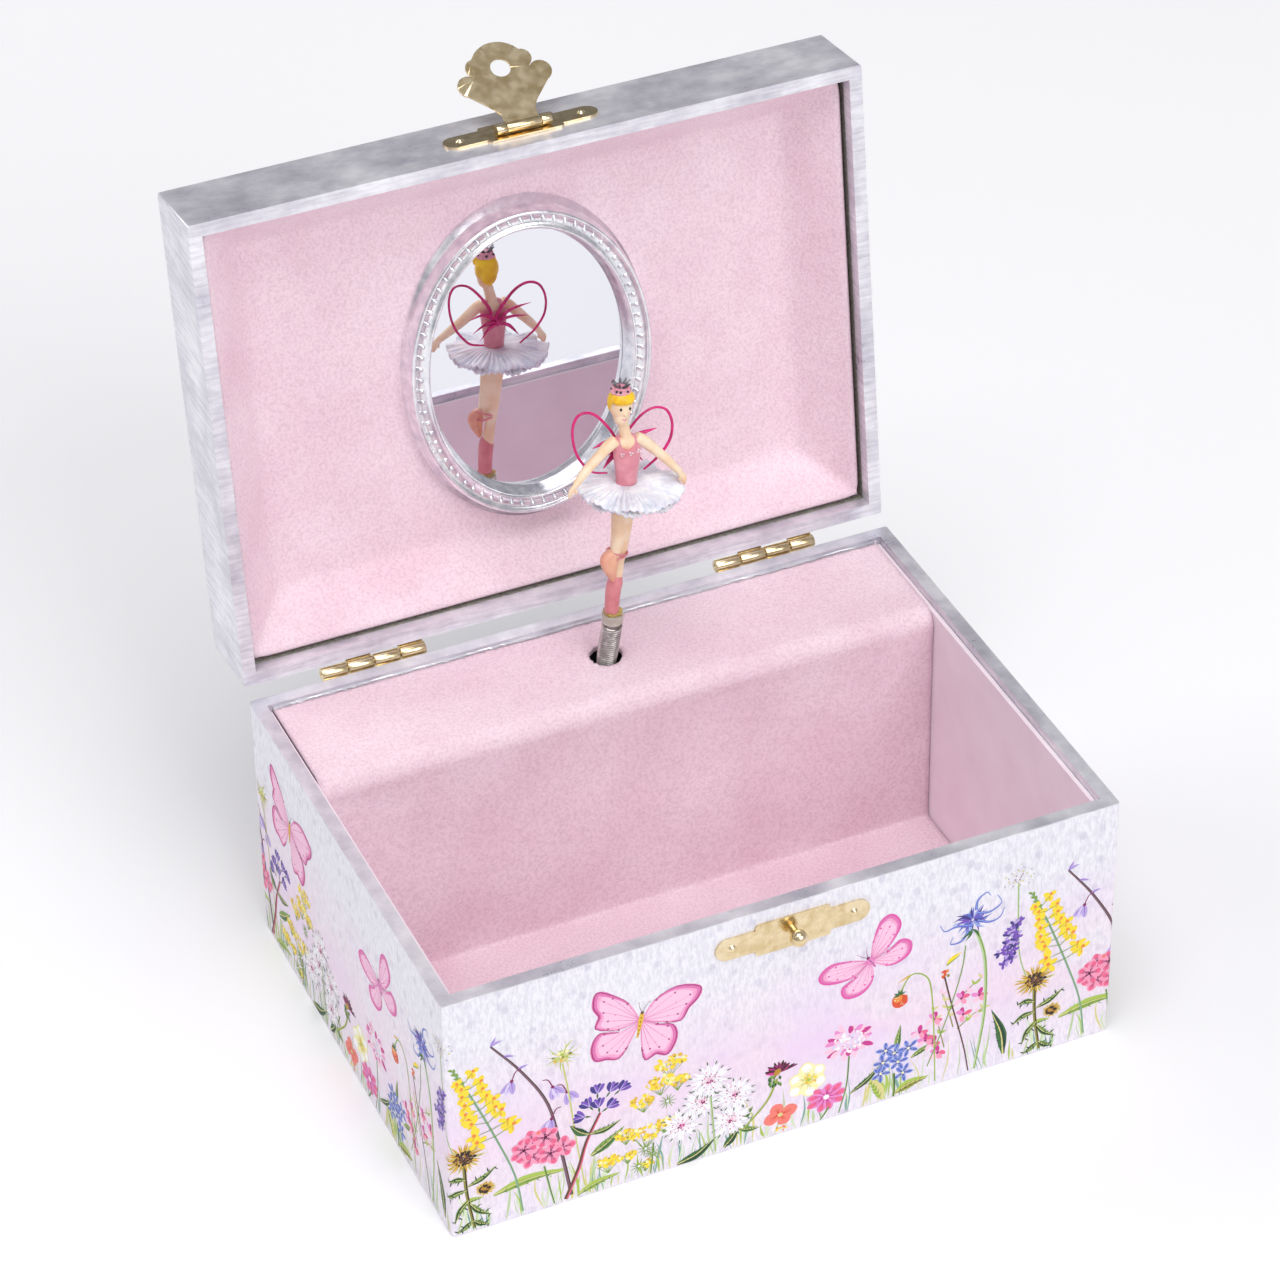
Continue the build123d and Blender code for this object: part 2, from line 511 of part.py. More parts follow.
def spring_drum():
    """The mainspring drum: crown teeth on its front face drive the spindle and the cylinder."""
    face = TRAIN_Y + PINION_R
    front, rear = face + 0.8, PLATE_Y - 0.3
    drum = rod(0, front, 0, "Y", CROWN_R + 1.2, 1.2)
    drum += rod(0, front, 0, "Y", CROWN_R - 0.6, rear - 0.6 - front)
    drum -= rod(0, front + 1.0, 0, "Y", CROWN_R - 1.4, rear)
    for i in range(CROWN_TEETH):
        tooth = span(CROWN_R - 1.2, CROWN_R + 1.2, face - 0.45, front + 0.1, -0.33, 0.33)
        drum += Rot(0, (i + 0.5) * 360 / CROWN_TEETH, 0) * tooth
    drum -= rod(0, face - 5, 0, "Y", 1.5 + FIT, 20)
    save(Pos(SPINDLE_X, 0, KEY_Z) * drum, "spring_drum")
    cover = rod(0, rear - 0.6, 0, "Y", CROWN_R - 0.6, 0.6) - rod(0, 30, 0, "Y", 1.5 + FIT, 30)
    save(Pos(SPINDLE_X, 0, KEY_Z) * cover, "drum_cover")

    # the mainspring, a spiral of half turns
    strip, pitch = 0.35, 1.0
    y0, y1 = front + 1.3, rear - 0.9
    spiral = None
    for i in range(14):
        radius = 2.6 + i * pitch / 2
        half = Circle(radius + strip) - Circle(radius)
        half &= Pos(0, (1 if i % 2 else -1) * 15) * Rectangle(40, 30)
        half = Pos((1 if i % 2 else -1) * pitch / 4, 0) * half
        spiral = half if spiral is None else spiral + half
    coil = Plane((0, y0, 0), x_dir=(1, 0, 0), z_dir=(0, 1, 0)) * extrude(spiral, y1 - y0)
    save(Pos(SPINDLE_X, 0, KEY_Z) * coil, "mainspring")


def winding_key():
    arbor = rod(SPINDLE_X, TRAIN_Y + PINION_R + 0.9, KEY_Z, "Y", 1.5, HALF_D + 4.0 - TRAIN_Y - PINION_R)
    save(arbor, "winding_arbor")
    hub_y = HALF_D + 1.5
    bore = rod(SPINDLE_X, hub_y - 1, KEY_Z, "Y", 1.5, HALF_D + 4.9 - hub_y + 1)
    hub = rod(SPINDLE_X, hub_y, KEY_Z, "Y", 2.6, 7.0) - bore
    for side in (-1, 1):
        x = SPINDLE_X + side * 6.0
        ring = rod(x, 0, KEY_Z, "Z", 5.0, 1.6) - rod(x, 0, KEY_Z - 1, "Z", 2.6, 4)
        hub += Pos(0, hub_y + 9.0, -0.8) * ring
    save(hub, "winding_key")


def spindle():
    pinion = Pos(SPINDLE_X, SPINDLE_Y, KEY_Z + CROWN_R - 1.0) * HALF_PINION_TOOTH * gear(
        PINION_TEETH, PINION_R, 0.9, 0.8, 2.0)
    shaft = rod(SPINDLE_X, SPINDLE_Y, KEY_Z + CROWN_R - 2.5, "Z", 1.5, 59.6 - KEY_Z - CROWN_R + 2.5)
    pinion -= rod(SPINDLE_X, SPINDLE_Y, 30, "Z", 1.5, 30)
    save(shaft, "spindle_shaft")
    save(pinion, "spindle_pinion")


def lay_along_x(shape, x, z):
    """Turns a shape drawn about Z onto an X axis of the gear train."""
    return Pos(x, TRAIN_Y, z) * Rot(0, 90, 0) * shape


def cylinder_train():
    x0, x1 = CYLINDER_X
    drum = rod(x0, TRAIN_Y, KEY_Z, "X", CYLINDER_R, x1 - x0) - rod(x0, TRAIN_Y, KEY_Z, "X", 1.2, x1 - x0)
    track = (x1 - x0 - 2) / 18
    pins = []
    for i in range(18):
        for k in range(4):
            angle = (i * 137.5 + k * (67 + 5 * (i % 4))) % 360
            pin = rod(0, 0, CYLINDER_R - 0.4, "Z", 0.22, 0.9)
            pins.append(Pos(x0 + 1 + (i + 0.5) * track, TRAIN_Y, KEY_Z) * Rot(angle, 0, 0) * pin)
    save(drum + pins, "music_cylinder")

    arbor = rod(SPINDLE_X + CROWN_R - 1.4, TRAIN_Y, KEY_Z, "X", 1.2, 43.0)
    save(arbor, "cylinder_arbor")
    pinion = gear(PINION_TEETH, PINION_R, 0.9, 0.8, 2.0) - Cylinder(1.2, 10)
    save(lay_along_x(HALF_PINION_TOOTH * pinion, SPINDLE_X + CROWN_R - 1.0, KEY_Z), "cylinder_pinion")
    wheel = gear(GOVERNOR_TEETH, GOVERNOR_R, 0.8, 0.5, 1.6) - Cylinder(1.2, 10)
    save(lay_along_x(wheel, 43.0, KEY_Z), "cylinder_wheel")

    comb = span(x0, x1, TRAIN_Y, TRAIN_Y + 0.6, COMB_Z + 10, COMB_Z + 20)
    for i in range(18):
        x = x0 + 1 + (i + 0.5) * track
        comb += span(x - 0.45, x + 0.45, TRAIN_Y, TRAIN_Y + 0.6, COMB_Z, COMB_Z + 10.5)
    holes = (x0 + 6, x1 - 6)
    for x in holes:
        comb -= rod(x, TRAIN_Y - 1, COMB_Z + 16, "Y", 0.9, 3)
    save(comb, "music_comb")
    screws = [rod(x, TRAIN_Y - 1.0, COMB_Z + 16, "Y", 1.7, 1.0) + rod(x, TRAIN_Y - 0.5, COMB_Z + 16, "Y", 0.9, 4.5)
              for x in holes]
    save(Compound(screws), "comb_screws")


def governor():
    small = gear(PINION_TEETH, 2.0, 0.8, 0.6, 2.4) - Cylinder(1.0, 10)
    save(lay_along_x(HALF_PINION_TOOTH * small, 42.6, GOVERNOR_Z), "governor_pinion")
    wheel = gear(WHEEL_TEETH, WHEEL_R, 0.8, 0.42, 1.2) - Cylinder(1.0, 10)
    save(lay_along_x(wheel, WHEEL_X - 0.6, GOVERNOR_Z), "governor_wheel")
    save(rod(14.0, TRAIN_Y, GOVERNOR_Z, "X", 1.0, 40.0), "governor_arbor")

    # the fly: a vertical shaft with a worm and two air vanes
    shaft = rod(WHEEL_X, FLY_Y, 4.0, "Z", 0.7, 30.0)
    fly = shaft + span(WHEEL_X - 4.5, WHEEL_X + 4.5, FLY_Y - 0.25, FLY_Y + 0.25, 25.0, 33.0)
    pitch = 2 * pi * WHEEL_R / WHEEL_TEETH
    turns = 3
    helix = Helix(pitch, turns * pitch, 1.0)
    profile = Plane(helix @ 0, x_dir=(1, 0, 0), z_dir=helix % 0) * Rectangle(1.4, 0.34)
    thread = sweep(profile, path=helix, is_frenet=True)
    fly += Pos(WHEEL_X, FLY_Y, GOVERNOR_Z - turns * pitch / 2 + WORM_PHASE * pitch) * thread
    save(fly, "governor_fly")
    arm = span(WHEEL_X - 3, WHEEL_X + 3, FLY_Y - 3, FLY_Y + 3, 5.0, 7.0)
    arm += span(WHEEL_X - 3, WHEEL_X + 3, FLY_Y - 3, PLATE_Y, 5.0, 7.0)
    arm += span(WHEEL_X - 3, WHEEL_X + 3, PLATE_Y - 2, PLATE_Y, 5.0, 9.5)
    arm -= rod(WHEEL_X, FLY_Y, 0, "Z", 0.7 + FIT, 10)
    save(arm, "governor_bracket")


base_boards()
base_papers()
base_linings()
lid_shell()
lid_lining()
mirror()
hinges()
clasp()
hasp_flap()
dancer()
spring()
bedplate()
spring_drum()
winding_key()
spindle()
cylinder_train()
governor()
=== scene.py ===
import bmesh
import bpy
import cmath
import json
import math
import random
from mathutils import Matrix, Vector
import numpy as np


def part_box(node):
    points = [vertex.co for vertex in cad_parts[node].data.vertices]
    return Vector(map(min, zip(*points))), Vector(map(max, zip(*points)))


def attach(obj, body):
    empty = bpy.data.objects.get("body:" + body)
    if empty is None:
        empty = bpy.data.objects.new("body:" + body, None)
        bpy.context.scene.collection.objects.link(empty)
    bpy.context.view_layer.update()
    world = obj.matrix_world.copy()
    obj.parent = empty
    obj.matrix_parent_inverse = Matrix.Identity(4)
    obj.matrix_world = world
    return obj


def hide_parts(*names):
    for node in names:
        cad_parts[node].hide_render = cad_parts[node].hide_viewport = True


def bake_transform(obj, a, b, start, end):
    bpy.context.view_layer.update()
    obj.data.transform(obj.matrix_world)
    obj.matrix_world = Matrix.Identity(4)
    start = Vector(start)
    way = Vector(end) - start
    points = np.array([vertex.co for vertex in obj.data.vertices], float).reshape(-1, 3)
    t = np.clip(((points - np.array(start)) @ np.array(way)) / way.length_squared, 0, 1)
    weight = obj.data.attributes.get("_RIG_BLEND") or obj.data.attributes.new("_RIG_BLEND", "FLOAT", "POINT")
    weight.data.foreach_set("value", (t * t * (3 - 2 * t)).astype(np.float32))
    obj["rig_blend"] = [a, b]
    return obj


# A musical jewellery box with an oval mirror, a dancer on a spring and a printed meadow.
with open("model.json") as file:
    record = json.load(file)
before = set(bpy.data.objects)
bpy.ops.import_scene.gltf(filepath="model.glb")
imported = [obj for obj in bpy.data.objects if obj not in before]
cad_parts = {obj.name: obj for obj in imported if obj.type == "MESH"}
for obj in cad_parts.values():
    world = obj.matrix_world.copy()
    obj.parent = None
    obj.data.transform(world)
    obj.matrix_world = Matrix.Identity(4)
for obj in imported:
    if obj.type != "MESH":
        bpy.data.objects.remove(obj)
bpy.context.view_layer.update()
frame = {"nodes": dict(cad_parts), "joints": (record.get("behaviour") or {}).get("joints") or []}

MM = 0.001
nodes = frame["nodes"]
joints = {joint["name"]: joint for joint in frame["joints"]}

wrap_low, wrap_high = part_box("printed_wrap")
HALF_W = wrap_high.x
HALF_D = wrap_high.y
RIM_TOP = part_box("rim_foil")[1].z
CORNER = 0.6 * MM                     # radius of the wrap's corners

PIVOT = Vector(joints["lid_hinge"]["pos_m"])
LID_OPEN = math.radians(joints["lid_hinge"]["range_deg"][1])
OPENED = Matrix.Translation(PIVOT) @ Matrix.Rotation(-LID_OPEN, 4, "X") @ Matrix.Translation(-PIVOT)


def closed_box(node):
    """A lid node's box with the lid closed."""
    back = OPENED.inverted()
    points = [back @ v.co for v in nodes[node].data.vertices]
    low = Vector([min(p[i] for p in points) for i in range(3)])
    high = Vector([max(p[i] for p in points) for i in range(3)])
    return low, high


# ---- materials ----------------------------------------------------------------------
def rgb(code):
    """A web colour as linear red, green and blue."""
    parts = [int(code[i:i + 2], 16) / 255 for i in (0, 2, 4)]
    return [c / 12.92 if c < 0.04045 else ((c + 0.055) / 1.055) ** 2.4 for c in parts]


def material(name, code, rough, metal=0.0, more=None):
    made = bpy.data.materials.new(name)
    made.use_nodes = True
    shader = made.node_tree.nodes["Principled BSDF"]
    values = {"Base Color": (*rgb(code), 1), "Roughness": rough, "Metallic": metal, **(more or {})}
    for socket, value in values.items():
        shader.inputs[socket].default_value = value
    return made


def shader_of(made):
    return made.node_tree.nodes["Principled BSDF"]


def node(made, kind, inputs=None, **settings):
    """A node with its settings, and its inputs given as values or as sockets to link from."""
    tree = made.node_tree
    new = tree.nodes.new("ShaderNode" + kind)
    for key, value in settings.items():
        setattr(new, key, value)
    for key, value in (inputs or {}).items():
        if isinstance(value, bpy.types.NodeSocket):
            tree.links.new(value, new.inputs[key])
        else:
            new.inputs[key].default_value = value
    return new


def object_place(made, scale, stretch, turn=(0, 0, 0)):
    """The place in the object. scale is waves per millimetre, stretch is per axis."""
    place = node(made, "TexCoord")
    per_metre = [s * scale / MM for s in stretch]
    inputs = {"Vector": place.outputs["Object"], "Scale": per_metre, "Rotation": turn}
    return node(made, "Mapping", inputs).outputs["Vector"]


def noise(made, scale, detail=3.0, stretch=(1, 1, 1), turn=(0, 0, 0), rough=0.55):
    vector = object_place(made, scale, stretch, turn)
    inputs = {"Vector": vector, "Scale": 1.0, "Detail": detail, "Roughness": rough}
    return node(made, "TexNoise", inputs).outputs["Fac"]


def cells(made, scale, stretch):
    """Distance to the nearest of many scattered spots."""
    vector = object_place(made, scale, stretch)
    return node(made, "TexVoronoi", {"Vector": vector, "Scale": 1.0}).outputs["Distance"]


def ramp(made, factor, stops):
    """A colour ramp with stops of (place, web colour)."""
    new = node(made, "ValToRGB", {"Fac": factor})
    band = new.color_ramp
    while len(band.elements) < len(stops):
        band.elements.new(1.0)
    for element, (place, code) in zip(band.elements, stops):
        element.position = place
        element.color = (*rgb(code), 1)
    return new.outputs["Color"]


def blend_colours(made, factor, first, second, kind="MIX"):
    """Two colours mixed; factor is a value or a socket."""
    new = node(made, "Mix", data_type="RGBA", blend_type=kind)
    for socket, value in ((0, factor), (6, first), (7, second)):
        if isinstance(value, bpy.types.NodeSocket):
            made.node_tree.links.new(value, new.inputs[socket])
        else:
            new.inputs[socket].default_value = value
    return new.outputs[2]


def between(made, value, low, high, to_low=0.0, to_high=1.0):
    """A value's range from low to high, carried over to another range."""
    inputs = {"Value": value, "From Min": low, "From Max": high, "To Min": to_low, "To Max": to_high}
    return node(made, "MapRange", inputs).outputs["Result"]


def set_colour(made, socket):
    made.node_tree.links.new(socket, shader_of(made).inputs["Base Color"])


def set_rough(made, factor, low, high):
    rough = between(made, factor, 0.25, 0.75, low, high)
    made.node_tree.links.new(rough, shader_of(made).inputs["Roughness"])


def set_relief(made, heights):
    """Bumps from (height socket, depth in metres), coarse first."""
    normal = None
    for height, depth in heights:
        inputs = {"Height": height, "Distance": depth, "Strength": 1.0}
        if normal is not None:
            inputs["Normal"] = normal
        normal = node(made, "Bump", inputs).outputs["Normal"]
    made.node_tree.links.new(normal, shader_of(made).inputs["Normal"])


def velour(name, code_low, code_high):
    """Short pile: a fine grain, soft shading where the pile lies differently, and sheen."""
    pile = {"Sheen Weight": 0.45, "Sheen Roughness": 0.45, "Sheen Tint": (*rgb("FFE6F0"), 1),
            "Specular IOR Level": 0.1}
    made = material(name, code_high, 0.95, more=pile)
    grain = noise(made, 1.6, 4.0)
    cloud = noise(made, 0.05, 3.0)
    colour = ramp(made, cloud, [(0.3, code_low), (0.7, code_high)])
    speck = ramp(made, grain, [(0.34, "E2D6DB"), (0.58, "FFFFFF")])
    set_colour(made, blend_colours(made, 0.55, colour, speck, "MULTIPLY"))
    set_relief(made, [(noise(made, 0.35, 2.0), 0.10 * MM), (grain, 0.16 * MM)])
    return made


def foil(name, low, high, streak):
    """Silvered paper with a cloudy sheen. streak turns the fine brushing about Y."""
    made = material(name, high, 0.35, 0.45, {"Specular IOR Level": 0.6})
    cloud = noise(made, 0.07, 5.0, rough=0.65)
    brush = noise(made, 0.5, 3.0, (0.25, 0.25, 2.5), (0.5, streak, 0.3))
    colour = ramp(made, cloud, [(0.32, low), (0.62, high)])
    brushed = ramp(made, brush, [(0.35, "C9C7CE"), (0.6, "FFFFFF")])
    set_colour(made, blend_colours(made, 0.45, colour, brushed, "MULTIPLY"))
    set_rough(made, cloud, 0.24, 0.46)
    set_relief(made, [(noise(made, 0.12, 2.0), 0.06 * MM), (brush, 0.02 * MM)])
    return made


def pearl_paper():
    """The print's ground: pearly white with upright grey flecks and a pink haze low down."""
    gloss = {"Sheen Weight": 0.1, "Coat Weight": 0.15, "Coat Roughness": 0.35}
    made = material("pearl_paper", "EEEAF2", 0.42, 0.08, gloss)
    place = node(made, "TexCoord")
    height = node(made, "SeparateXYZ", {"Vector": place.outputs["Object"]}).outputs["Z"]
    fleck = noise(made, 1.6, 4.0, (1, 1, 0.3), rough=0.75)
    blotch = cells(made, 0.28, (1, 1, 0.8))
    cloud = noise(made, 0.045, 3.0)
    ground = ramp(made, fleck, [(0.3, "D6D4DE"), (0.44, "DFDDE6"), (0.58, "EEECF2")])
    spots = ramp(made, blotch, [(0.2, "E0DEE8"), (0.32, "FFFFFF")])
    ground = blend_colours(made, 0.5, ground, spots, "MULTIPLY")
    haze = node(made, "ValToRGB", {"Fac": between(made, height, 0.0, RIM_TOP)})
    haze.color_ramp.elements[0].position = 0.02
    haze.color_ramp.elements[0].color = (0.25, 0.25, 0.25, 1)
    haze.color_ramp.elements[1].position = 0.78
    haze.color_ramp.elements[1].color = (0, 0, 0, 1)
    middle = haze.color_ramp.elements.new(0.36)
    middle.color = (1, 1, 1, 1)
    patchy = node(made, "Math", {0: haze.outputs["Color"], 1: between(made, cloud, 0.3, 0.62, 0.15, 0.95)},
                  operation="MULTIPLY").outputs[0]
    pink = ramp(made, cloud, [(0.4, "F2C9E0"), (0.6, "E9D0EA")])
    set_colour(made, blend_colours(made, patchy, ground, pink))
    set_relief(made, [(fleck, 0.03 * MM)])
    return made


def smooth_paper():
    made = material("smooth_lining", "EFD3E2", 0.5, more={"Sheen Weight": 0.1})
    cloud = noise(made, 0.08, 3.0)
    set_colour(made, ramp(made, cloud, [(0.3, "F5E6EE"), (0.7, "FBF0F6")]))
    set_relief(made, [(noise(made, 2.0, 3.0), 0.02 * MM)])
    return made


def card():
    made = material("grey_card", "A8A39B", 0.9)
    set_colour(made, ramp(made, noise(made, 1.2, 5.0), [(0.35, "8E8880"), (0.65, "B9B4AB")]))
    set_relief(made, [(noise(made, 2.2, 4.0), 0.05 * MM)])
    return made


def metal(name, low, high, rough_low, rough_high, dent=0.015):
    """Plated or polished metal with faint wear in its colour, gloss and surface."""
    made = material(name, high, rough_low, 1.0)
    wear = noise(made, 0.35, 4.0, rough=0.6)
    set_colour(made, ramp(made, wear, [(0.35, low), (0.62, high)]))
    set_rough(made, wear, rough_low, rough_high)
    set_relief(made, [(noise(made, 0.8, 2.0), dent * MM)])
    return made


def moulded(name, low, high, rough, more=None):
    """Painted or moulded plastic with slight unevenness."""
    made = material(name, high, rough, more=more)
    cloud = noise(made, 0.3, 3.0)
    set_colour(made, ramp(made, cloud, [(0.35, low), (0.62, high)]))
    set_relief(made, [(noise(made, 1.1, 2.0), 0.02 * MM)])
    return made


SOFT_PLASTIC = {"Subsurface Weight": 0.25, "Subsurface Radius": (1.0, 0.6, 0.4),
                "Subsurface Scale": 0.6 * MM, "Specular IOR Level": 0.45}
CLEAR = {"Transmission Weight": 0.45, "IOR": 1.45}

looks = {
    "velour": velour("pink_velour", "EDCFDA", "F5DFE7"),
    "foil": foil("lilac_foil", "CBC8D3", "F5F4F8", 0.6),
    "rim": foil("rim_foil_paper", "C9C8D2", "F1F0F4", 1.0),
    "pearl": pearl_paper(),
    "lining": smooth_paper(),
    "card": card(),
    "base_paper": moulded("base_sheet", "CFCBD3", "E3DFE6", 0.7),
    "brass": metal("gold_plate", "D8C090", "EEDCB6", 0.16, 0.26),
    "movement_brass": metal("movement_brass", "A8853F", "D9B767", 0.25, 0.4),
    "steel": metal("bright_steel", "9A9894", "D9D7D2", 0.14, 0.3),
    "key_metal": metal("nickel_plate", "A39F98", "D0CCC4", 0.18, 0.34),
    "zinc": metal("cast_zinc", "7E7F84", "A7A8AD", 0.4, 0.6, 0.05),
    "silver": metal("vacuum_silver", "DCDCE2", "F8F8FA", 0.16, 0.3, 0.015),
    "mirror": material("mirror_silvering", "E8E8EE", 0.015, 1.0),
    "clear": moulded("milky_cap", "D8CFBE", "F0EBE2", 0.3, CLEAR),
    "glue": moulded("yellow_glue", "C9A64E", "E6CF86", 0.25, CLEAR),
    "skin": moulded("doll_skin", "F2CFAA", "FAE2C4", 0.38, SOFT_PLASTIC),
    "hair": moulded("doll_hair", "E3A914", "FBCF2E", 0.35, SOFT_PLASTIC),
    "leotard": moulded("rose_paint", "D88694", "E59CA8", 0.28, SOFT_PLASTIC),
    "shoe": moulded("shoe_paint", "D57E84", "E29196", 0.32, SOFT_PLASTIC),
    "blush": moulded("blushed_skin", "E39A86", "EDB597", 0.36, SOFT_PLASTIC),
    "band": moulded("pink_band", "D88C9E", "E9A9B6", 0.35, SOFT_PLASTIC),
    "dark": moulded("dark_paint", "1E1C20", "3C3A40", 0.3),
    # painted highlight: this white is only used for the glints drawn on the dancer's bust
    "glint": moulded("painted_glint_white", "E8E6EC", "FFFFFF", 0.2),
    "tutu": moulded("white_tutu", "DCDCE8", "F8F8FC", 0.42, SOFT_PLASTIC),
    "wing": moulded("magenta_plastic", "B91463", "DE2C80", 0.22),
    "crown": metal("dark_silver", "2E2C30", "9B999E", 0.2, 0.45),
    "floor": material("pale_floor", "FBFBFC", 0.9),
    "fly": moulded("cream_plastic", "DAD6C8", "EFECE0", 0.4),
}
NODE_LOOKS = {
    "card": ("front_board", "rear_board", "left_board", "right_board", "floor_board", "lid_front_board",
             "lid_rear_board", "lid_left_board", "lid_right_board", "lid_top_board"),
    "base_paper": ("underside_sheet",),
    "pearl": ("printed_wrap",),
    "rim": ("rim_foil",),
    "foil": ("lid_foil_wrap",),
    "lining": ("left_lining", "right_lining", "front_lining"),
    "velour": ("velour_insert", "lid_lining"),
    "silver": ("mirror_frame", "dancer_crown"),
    "mirror": ("mirror_glass",),
    "brass": ("hinge_base_leaves", "hinge_lid_leaves", "hinge_pins", "hinge_base_nails", "hinge_lid_nails",
              "knob_plate", "clasp_knob", "knob_plate_pins", "hasp_plate", "hasp_pin", "hasp_plate_pins",
              "hasp_flap"),
    "steel": ("coil_spring", "movement_screws", "mainspring", "winding_arbor", "spindle_shaft",
              "cylinder_arbor", "music_comb", "comb_screws", "governor_arbor"),
    "movement_brass": ("spring_drum", "drum_cover", "spindle_pinion", "music_cylinder", "cylinder_pinion",
                       "cylinder_wheel", "governor_pinion", "governor_wheel"),
    "key_metal": ("winding_key",),
    "zinc": ("movement_bedplate", "governor_bracket"),
    "clear": ("spring_cap",),
    "skin": ("dancer_figure",),
    "tutu": ("dancer_tutu",),
    "wing": ("dancer_wings",),
    "fly": ("governor_fly",),
}
for look, names in NODE_LOOKS.items():
    for name in names:
        nodes[name].data.materials.clear()
        nodes[name].data.materials.append(looks[look])


def soften(name, width, angle=35):
    """Rounds a CAD node's sharp edges by a hair, for their highlights."""
    weld = nodes[name].modifiers.new("weld", "WELD")
    weld.merge_threshold = 0.001 * MM
    bevel = nodes[name].modifiers.new("bevel", "BEVEL")
    bevel.width = width
    bevel.segments = 2
    bevel.limit_method = "ANGLE"
    bevel.angle_limit = math.radians(angle)
    bevel.harden_normals = True


for name in ("knob_plate", "hasp_plate", "hasp_flap", "hinge_base_leaves", "hinge_lid_leaves"):
    soften(name, 0.12 * MM)
soften("rim_foil", 0.25 * MM)
soften("lid_foil_wrap", 0.3 * MM)


# ---- mesh helpers -------------------------------------------------------------------
def circle(count):
    """Even turns round a circle, in radians."""
    return [2 * math.pi * k / count for k in range(count)]


def piece(name, shape, look, body=None, smooth=True):
    """A mesh object from a shape, riding on a body."""
    mesh = bpy.data.meshes.new(name)
    mesh.from_pydata([tuple(p) for p in shape.points], [], shape.faces)
    mesh.materials.append(looks[look])
    mesh.polygons.foreach_set("use_smooth", [smooth] * len(mesh.polygons))
    made = bpy.data.objects.new(name, mesh)
    bpy.context.scene.collection.objects.link(made)
    if body:
        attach(made, body)
    return made


def settle(made):
    """Applies a piece's modifiers to its mesh."""
    graph = bpy.context.evaluated_depsgraph_get()
    mesh = bpy.data.meshes.new_from_object(made.evaluated_get(graph))
    made.modifiers.clear()
    old = made.data
    made.data = mesh
    bpy.data.meshes.remove(old)


def carve(made, name, shape, look, smooth=True):
    """Cuts a closed shape out of a piece."""
    tool = piece(name, shape, look, smooth=smooth)
    cut = made.modifiers.new(name, "BOOLEAN")
    cut.object = tool
    cut.operation = "DIFFERENCE"
    cut.solver = "EXACT"
    settle(made)
    bpy.data.objects.remove(tool)


class Shape:
    """Points and faces gathered from several simple forms."""

    def __init__(self):
        self.points = []
        self.faces = []

    def grid(self, rows, close_rows=False, close_columns=False):
        """A skin over rows of points, each row as long as the others."""
        first = len(self.points)
        count, width = len(rows), len(rows[0])
        for row in rows:
            self.points.extend(row)
        for i in range(count if close_rows else count - 1):
            for j in range(width if close_columns else width - 1):
                a, b = first + i * width, first + (i + 1) % count * width
                k = (j + 1) % width
                self.faces.append((a + j, a + k, b + k, b + j))

    def cap(self, start, count, flip=False):
        ring = list(range(start, start + count))
        self.faces.append(ring[::-1] if flip else ring)

    def tube(self, line, radii, sides=16, squash=1.0, closed=False):
        """A round bar along a line of points, with its radius at each point."""
        first = len(self.points)
        rows = []
        across = None
        for i, point in enumerate(line):
            if closed:
                run = line[(i + 1) % len(line)] - line[i - 1]
            else:
                run = line[min(i + 1, len(line) - 1)] - line[max(i - 1, 0)]
            run.normalize()
            if across is None:
                across = run.orthogonal()
            across = (across - run * across.dot(run)).normalized()
            other = run.cross(across)
            rows.append([point + radii[i] * (math.cos(t) * across + squash * math.sin(t) * other)
                         for t in circle(sides)])
        self.grid(rows, close_rows=closed, close_columns=True)
        if not closed:
            self.cap(first, sides, flip=True)
            self.cap(first + (len(rows) - 1) * sides, sides)

    def ball(self, centre, size, across=20, down=12):
        """An ellipsoid with its poles on Z."""
        first = len(self.points)
        rows = []
        for i in range(down - 1, 0, -1):
            tilt = math.pi * i / down
            wide = math.sin(tilt)
            rows.append([centre + Vector((size[0] * wide * math.cos(t), size[1] * wide * math.sin(t),
                                          size[2] * math.cos(tilt))) for t in circle(across)])
        self.grid(rows, close_columns=True)
        last = first + (down - 2) * across
        top, bottom = len(self.points), len(self.points) + 1
        self.points.extend([centre + Vector((0, 0, size[2])), centre - Vector((0, 0, size[2]))])
        for k in range(across):
            self.faces.append((bottom, first + (k + 1) % across, first + k))
            self.faces.append((top, last + k, last + (k + 1) % across))

    def place(self, matrix):
        self.points = [matrix @ p for p in self.points]
        return self


def spline(points, steps=8):
    """A smooth line through the points."""
    ends = [points[0] * 2 - points[1], *points, points[-1] * 2 - points[-2]]
    line = []
    for a, b, c, d in zip(ends, ends[1:], ends[2:], ends[3:]):
        for k in range(steps):
            t = k / steps
            line.append(0.5 * ((2 * b) + (c - a) * t + (2 * a - 5 * b + 4 * c - d) * t ** 2
                               + (3 * b - a - 3 * c + d) * t ** 3))
    line.append(points[-1])
    return line


def ramped(values, count):
    """Values spread evenly along a line of that many points."""
    out = []
    for i in range(count):
        place = i / (count - 1) * (len(values) - 1)
        k = min(int(place), len(values) - 2)
        out.append(values[k] + (values[k + 1] - values[k]) * (place - k))
    return out


def fused(name, shape, look, body, voxel, rounds=6):
    """One smooth solid from overlapping forms."""
    made = piece(name, shape, look)
    remesh = made.modifiers.new("remesh", "REMESH")
    remesh.mode = "VOXEL"
    remesh.voxel_size = voxel
    smooth = made.modifiers.new("smooth", "SMOOTH")
    smooth.factor = 0.5
    smooth.iterations = rounds
    settle(made)
    made.data.polygons.foreach_set("use_smooth", [True] * len(made.data.polygons))
    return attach(made, body)


